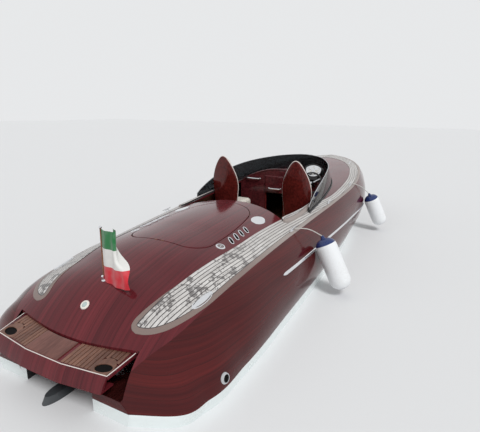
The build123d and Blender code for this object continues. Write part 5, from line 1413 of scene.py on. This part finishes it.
cap = {"ringX": 1.615, "ringY": 0.575, "ovalX": 2.555, "ovalY": 0.572, "ovalLong": 0.125, "ovalWide": 0.083,
       "lift": 0.007, "thick": 0.009, "round": 0.006}
caps, capInsides = [], []
for side in (1, -1):
    origin, ahead, sideways, out = deckFrame(cap["ringX"], side * cap["ringY"])
    caps.append(lathe([(0.036, 0.0015, 0), (0.036, 0.006, 0.002), (0.046, 0.006, 0.003), (0.052, 0.0, 0),
                       (0.036, -0.001, 0), (0.036, 0.0015, 0)], origin, out, 40, ahead))
    capInsides.append(lathe([(0, 0.004, 0), (0.034, 0.0035, 0.002), (0.0355, -0.001, 0), (0, -0.001, 0)],
                            origin, out, 32, ahead))
    caps.append(lathe([(0, 0.0065, 0), (0.010, 0.006, 0.002), (0.012, 0.003, 0), (0, 0.003, 0)], origin, out,
                      20, ahead, (1.6, 0.45)))
    sweep = np.linspace(0, np.pi, 60)
    half = np.stack([cap["ovalX"] - cap["ovalLong"] * np.cos(sweep), cap["ovalWide"] * np.sin(sweep)], -1)
    centre = np.array([0, side * cap["ovalY"]])
    caps += slab(half * mirror + centre, half + centre, onDeck(cap["lift"]), cap["thick"], cap["round"],
                 across=14, along=30, roundEnds=(False, False))
buildPiece("deckCaps", caps, chrome, replaced=["deck_caps"])
buildPiece("capFillers", capInsides, capGrey)

lightX = {"sternLamp": 0.33, "bowLight": 7.15}
origin, ahead, sideways, out = deckFrame(lightX["sternLamp"], 0)
lamp = [lathe([(0.024, 0.006, 0), (0.026, 0.010, 0.003), (0.038, 0.008, 0.004), (0.042, 0.0, 0),
               (0.024, -0.001, 0), (0.024, 0.006, 0)], origin, out, 40, ahead),
        turned(np.concatenate([[(0.025 * math.sin(t), 0.004 + 0.011 * math.cos(t))
                                for t in np.linspace(0, 1.5, 8)], [(0.0245, -0.001), (0, -0.001)]]), origin,
               out, 32, ahead, part=1)]
buildPiece("sternLamp", lamp, [ivoryPaint, lampLens], replaced=["stern_lamp"])

origin, ahead, sideways, out = deckFrame(lightX["bowLight"], 0)
bow = [lathe([(0, 0.014, 0), (0.018, 0.014, 0.004), (0.045, 0.006, 0.004), (0.045, 0.0, 0), (0, 0, 0)],
             origin, out, 36, ahead),
       lathe([(0, 0.085, 0), (0.012, 0.083, 0.004), (0.0095, 0.045, 0.02), (0.015, 0.012, 0.002),
              (0, 0.012, 0)], origin, out, 24, ahead),
       lathe([(0, 0.124, 0), (0.021, 0.121, 0.008), (0.033, 0.104, 0.008), (0.034, 0.083, 0.004),
              (0, 0.080, 0)], origin, out, 32, ahead, (1.25, 0.8)),
       lathe([(0, 0.117, 0), (0.0345, 0.112, 0.002), (0.0345, 0.092, 0.002), (0, 0.09, 0)], origin, out, 32,
             ahead, (1.26, 0.81), part=1)]
buildPiece("bowLight", bow, [chrome, lampLens], replaced=["bow_light"])

cleat = {"places": ((2.73, 0.955), (4.15, 1.03), (5.50, 1.06), (7.35, 0.64)), "half": 0.09, "height": 0.036,
         "bar": 0.0095, "stance": 0.022}
cleatPatches = []
for x, y in cleat["places"]:
    for side in (1, -1):
        origin, ahead, sideways, out = deckFrame(x, side * y, bandShape["lift"])
        run = np.linspace(-1, 1, 25)
        horn = (origin + cleat["half"] * run[:, None] * ahead
                + (cleat["height"] + 0.006 * run**2)[:, None] * out)
        cleatPatches.append(tube(horn, cleat["bar"] * (1 - 0.55 * run**2), 12, upright=out))
        for foot in (1, -1):
            lean = np.linspace(0, 1, 6)
            post = (origin + (cleat["stance"] + 0.010 * (1 - lean)**2)[:, None] * foot * ahead
                    + ((cleat["height"] + 0.002) * lean)[:, None] * out)
            cleatPatches.append(tube(post, 0.0085 + 0.003 * (1 - lean)**2, 12, upright=sideways))
        cleatPatches.append(lathe([(0, 0.005, 0), (0.9, 0.005, 0.1), (1.0, 0.0, 0), (0, 0, 0)], origin, out,
                                  32, ahead, (0.05, 0.017)))
flush = {"x": 0.83, "y": 0.848, "turn": 0.1, "long": 0.14, "wide": 0.040, "bar": 0.125}
for side in (1, -1):
    origin, ahead, sideways, out = deckFrame(flush["x"], side * flush["y"], bandShape["lift"])
    forward = ahead * math.cos(flush["turn"]) + side * sideways * math.sin(flush["turn"])
    across = np.cross(out, forward)
    cleatPatches.append(lathe([(0.86, 0.003, 0), (0.88, 0.006, 0.02), (1.0, 0.0, 0), (0.86, -0.001, 0),
                               (0.86, 0.003, 0)], origin, out, 48, forward, (flush["long"], flush["wide"])))
    bar = origin + np.linspace(-flush["bar"], flush["bar"], 20)[:, None] * forward + 0.006 * out
    cleatPatches.append(tube(bar, 0.026 - 0.016 * np.linspace(-1, 1, 20)**2, 16, upright=out, flat=0.3))
buildPiece("deckCleats", cleatPatches, chrome, replaced=["cleats"])

outlet = {"x": 0.57, "z": 0.205, "sunk": 0.004}
exhaust = []
for side in (1, -1):
    x, z, step = outlet["x"], outlet["z"], 0.02
    origin = np.array([x, side * (float(sideHalf(x, z)) - outlet["sunk"]), z])
    slopeX = float(sideHalf(x + step, z) - sideHalf(x - step, z)) / (2 * step)
    slopeZ = float(sideHalf(x, z + step) - sideHalf(x, z - step)) / (2 * step)
    out = np.array([-slopeX, side * 1.0, -slopeZ])
    out /= np.linalg.norm(out)
    exhaust.append(lathe([(0.031, 0.003, 0), (0.031, 0.022, 0.003), (0.038, 0.022, 0.004),
                          (0.048, 0.006, 0.004), (0.049, -0.004, 0), (0.031, -0.004, 0), (0.031, 0.003, 0)],
                         origin, out, 40, (1, 0, 0)))
    # A near-black disc in the outlet's mouth: painted shade in the pipe.
    exhaust.append(turned([(0, 0.0055), (0.0315, 0.0055), (0.0315, 0.0), (0, 0.0)], origin, out, 32,
                          (1, 0, 0), part=1))
buildPiece("exhaustOutlets", exhaust, [brushedSteel, blackPrintAndHollowShade], replaced=["exhaust_outlets"])

staff = {"x": 0.56, "top": 1.265, "radius": 0.009}
staffFoot = float(deckHeight(staff["x"], 0))
origin, ahead, sideways, out = deckFrame(staff["x"], 0)
pole = lathe([(0, staff["top"] - 0.008, 0), (0.0075, staff["top"] - 0.008, 0),
              (staff["radius"], staffFoot + 0.2, 0), (staff["radius"], staffFoot, 0), (0, staffFoot, 0)],
             (staff["x"], 0, 0), sides=20, part=1)
ball = turned([(0.014 * math.sin(t), 0.014 * math.cos(t)) for t in np.linspace(0, np.pi, 13)],
              (staff["x"], 0, staff["top"]), sides=20)
socket = lathe([(0, 0.05, 0), (0.013, 0.05, 0.003), (0.014, 0.012, 0.006), (0.024, 0.006, 0.004),
                (0.024, 0, 0), (0, 0, 0)], origin, out, 28, ahead)
buildPiece("ensignStaff", [pole, ball, socket], [chrome, bulkheadWood], replaced=["flagstaff"])
print("fittings built")

# Fenders: a turned profile with a rounded shoulder, navy ends and an eye; the axis leans out past the strip
# Each row: name, CAD node, top x and z, foot x and z, lean in degrees, the cleat's x and y
fender = {"radius": 0.135, "line": 0.006, "neck": 0.045,
          "rows": (("fenderAft", "fender_aft", 2.89, 0.70, 2.88, 0.115, 27, 2.73, 0.955),
                   ("fenderForward", "fender_forward", 5.94, 0.70, 6.08, 0.15, 23, 5.50, 1.06))}
for name, node, topX, topZ, footX, footZ, leanDeg, cleatX, cleatY in fender["rows"]:
    lean = math.radians(leanDeg)
    stripAt = topX + (footX - topX) * (topZ - strip["z"]) / (topZ - footZ)
    sideY = float(sideHalf(np.array([topX, stripAt, footX]), strip["z"]).max()) + 0.014
    axisY = sideY + (fender["radius"] + strip["half"] * math.sin(lean) + 0.0012) / math.cos(lean)
    start = np.array([topX, -axisY + (topZ - strip["z"]) * math.tan(lean), topZ])
    foot = np.array([footX, -axisY + (footZ - strip["z"]) * math.tan(lean), footZ])
    length = np.linalg.norm(foot - start)
    down = (foot - start) / length
    r = fender["radius"]
    turn = np.linspace(0, np.pi / 2, 12)
    dome = np.stack([0.03 + (r - 0.03) * np.sin(turn) ** 0.9, 0.115 * (1 - np.cos(turn))], -1)
    body = np.concatenate([dome, np.linspace((r, 0.13), (r, length - 0.13), 12),
                           (dome * [1, -1])[::-1] + [0, length]])
    capEnd = 9
    top = np.concatenate([[(0.0, 0.001)], body[:capEnd] + [0.0006, 0],
                          [(body[capEnd - 1, 0] - 0.004, body[capEnd - 1, 1])], [(0, body[capEnd - 1, 1])]])
    patches = [turned(np.concatenate([[(0, 0.002)], body, [(0, length - 0.002)]]), start, down, 40,
                      (0, 1, 0)), turned(top, start, down, 40, (0, 1, 0), part=1),
               turned(np.concatenate([[(0.0, -0.001)], (dome * [1, -1])[:4] + [0.0006, 0], [(0, -0.004)]]),
                      foot, down, 40, (0, 1, 0), part=1),
               lathe([(0, -fender["neck"], 0), (0.020, -fender["neck"], 0.006), (0.026, -0.015, 0.01),
                      (0.036, 0.004, 0), (0, 0.004, 0)], start, down, 24, (0, 1, 0), part=1)]
    buildPiece(name, patches, [whiteVinyl, navyVinyl], replaced=[node])
    eye = start - down * (fender["neck"] + 0.0003)
    origin, ahead, sideways, out = deckFrame(cleatX, -cleatY, 0.0003)
    tie = origin + ahead * 0.024 - sideways * 0.0173 + out * 0.040
    over = np.array([(tie[0] + eye[0]) / 2, (tie[1] + eye[1]) / 2, 0.0])
    over[2] = (tie[2] + eye[2]) / 2 + 0.035
    route = pathThrough(np.array([tie, over, eye]), 90)
    twist = tube(route, fender["line"] * 0.86, 18, upright=(1, 0, 0),
                 lobes=lambda s, a: 0.22 * abs(np.cos(1.5 * (a - s * 0.55))))
    buildPiece(name + "Line", [twist], makePaint(name + "Rope", (0.60, 0.59, 0.56), 0.6, 0.8, 0.3),
               replaced=[node + "_line"])
print("fenders built")

# Flag: a three-band cloth hung from its hoist, its free edge turned back behind it
flagShape = {"long": 0.50, "wide": 0.34, "top": 1.250, "steps": (70, 60), "out": (-0.24, -0.97),
             "bands": ((0.01, 0.17, 0.045, 1), (0.78, 0.78, 0.75, 1), (0.62, 0.015, 0.03, 1))}


def makeFlagCloth():
    # Three bands by thirds of u; the threads are two sines multiplied.
    material, tree, put, coords = newMaterial("flagCloth", Roughness=0.75, Sheen_Weight=0.25)
    spot = axes(tree, coords["UV"])
    second = mathNode(tree, "GREATER_THAN", spot[0], 1 / 3)
    third = mathNode(tree, "GREATER_THAN", spot[0], 2 / 3)
    top, middle, low = flagShape["bands"]
    bands = mixColour(tree, third, mixColour(tree, second, top, middle), low)
    threads = product(tree, mathNode(tree, "SINE", product(tree, spot[0], 2600.0)),
                      mathNode(tree, "SINE", product(tree, spot[1], 1900.0)))
    faded = product(tree, spread(tree, noise(tree, coords["UV"], 5.0), 0.4, 0.7), 0.14)
    tree.links.new(mixColour(tree, faded, bands, (0.5, 0.5, 0.5, 1)), put["Base Color"])
    tree.links.new(bumpFrom(tree, threads, 0.2, 0.0003), put["Normal"])
    return material


rows, columns = flagShape["steps"]
u = np.linspace(0, 1, rows)[:, None] * np.ones((1, columns))
v = np.linspace(0, 1, columns)[None] * np.ones((rows, 1))
# Down the staff by u, along the cloth by v. A row starts off the staff in one heading and turns back behind
# itself where the shown width ends; its points add up the heading's cosine and sine, so it keeps its length.
rowKnots = np.array([0, 0.3, 0.5, 0.66, 0.82, 1.0])
rowTable = np.array([(0.185, 2.7), (0.190, 2.6), (0.215, 2.2), (0.275, 1.5), (0.305, 1.0), (0.285, 0.9)])
rowShape = curveThrough(rowKnots, rowTable, u[:, 0])
run = flagShape["wide"] * v
turning = np.clip((run - rowShape[:, :1] + 0.03) / 0.06, 0, 1)
heading = rowShape[:, 1:] * turning**2 * (3 - 2 * turning) - 0.30 * np.sin(2 * np.pi * run / 0.155 + 2.0 * u)
stride = flagShape["wide"] / (columns - 1)
reach = 0.0095 + np.concatenate([np.zeros((rows, 1)), np.cumsum(np.cos(heading[:, :-1]), 1)], 1) * stride
wave = np.concatenate([np.zeros((rows, 1)), np.cumsum(np.sin(heading[:, :-1]), 1)], 1) * stride
flagX = staff["x"] + flagShape["out"][0] * reach - flagShape["out"][1] * wave
flagY = flagShape["out"][1] * reach + flagShape["out"][0] * wave
flagZ = flagShape["top"] - 0.985 * flagShape["long"] * u + 0.05 * reach
cloth = np.stack([flagX, flagY, flagZ], -1)
flagPiece = buildPiece("ensign", [patch(cloth, uv=np.stack([u, v], -1))], makeFlagCloth(),
                       replaced=["flag"], crease=180)
print("flag built")

# Camera at the photograph's place: yaw 27 degrees from forward towards port, 14.3 down, rolled 0.8
view = {"place": (-5.99254, -2.53452, 2.24772), "pitch": 0.249790, "roll": 0.0135476, "yaw": 0.471686,
        "focal": 397.84, "centreY": 211.42, "width": 480, "height": 432}
ahead = np.array([math.cos(view["yaw"]), math.sin(view["yaw"]), 0])
right = np.array([math.sin(view["yaw"]), -math.cos(view["yaw"]), 0])
up = np.array([0, 0, 1.0])
cp, sp, cr, sr = (f(view[k]) for k in ("pitch", "roll") for f in (math.cos, math.sin))
lookRight = right * cr + ahead * sp * sr + up * cp * sr
lookUp = -right * sr + ahead * sp * cr + up * cp * cr
look = ahead * cp - up * sp
cameraData = bpy.data.cameras.new("photoCamera")
cameraData.sensor_width = 36
cameraData.lens = 36 * view["focal"] / view["width"]
cameraData.shift_y = (view["centreY"] - view["height"] / 2) / view["width"]
cameraData.clip_start, cameraData.clip_end = 0.05, 400
camera = bpy.data.objects.new("photoCamera", cameraData)
bpy.context.scene.collection.objects.link(camera)
matrix = Matrix.Identity(4)
for column, axis in enumerate((lookRight, lookUp, -look)):
    for i in range(3):
        matrix[i][column] = float(axis[i])
for i in range(3):
    matrix[i][3] = view["place"][i]
camera.matrix_world = matrix
bpy.context.scene.camera = camera

# Light and stage: one soft sun, an even sky, and a pale floor at the waterline
light = {"sun": 1.9, "sunSize": math.radians(18), "sky": 0.52, "pale": (0.80, 0.81, 0.82), "floor": 60.0}
sunData = bpy.data.lights.new("softSun", "SUN")
sunData.energy, sunData.angle = light["sun"], light["sunSize"]
sun = bpy.data.objects.new("softSun", sunData)
sun.rotation_euler = (math.radians(38), math.radians(-18), math.radians(-20))
sun.visible_glossy = False
bpy.context.scene.collection.objects.link(sun)

world = bpy.data.worlds.new("studio")
bpy.context.scene.world = world
world.use_nodes = True
tree = world.node_tree
tree.nodes.clear()
path = addNode(tree, "ShaderNodeLightPath").outputs
seen = mathNode(tree, "MAXIMUM", mathNode(tree, "MAXIMUM", path["Is Camera Ray"], path["Is Glossy Ray"]),
                path["Is Transmission Ray"])
glow = addNode(tree, "ShaderNodeBackground", {"Color": (1, 1, 1, 1), "Strength": light["sky"]}).outputs[0]
backdrop = addNode(tree, "ShaderNodeBackground", {"Color": (*light["pale"], 1), "Strength": 1.0}).outputs[0]
both = addNode(tree, "ShaderNodeMixShader", {0: seen, 1: glow, 2: backdrop}).outputs[0]
tree.links.new(both, tree.nodes.new("ShaderNodeOutputWorld").inputs[0])

floorMesh = bpy.data.meshes.new("floor")
reach = light["floor"]
floorMesh.from_pydata([(-reach, -reach, 0), (reach, -reach, 0), (reach, reach, 0), (-reach, reach, 0)], [],
                      [(0, 1, 2, 3)])
floorPaint, tree, put, coords = newMaterial("floorPaint", Roughness=0.8)
put["Base Color"].default_value = (0.78, 0.79, 0.80, 1)
floorMesh.materials.append(floorPaint)
floor = bpy.data.objects.new("floor", floorMesh)
bpy.context.scene.collection.objects.link(floor)

settings = bpy.context.scene.view_settings
settings.view_transform = "Standard"
print("scene ready")
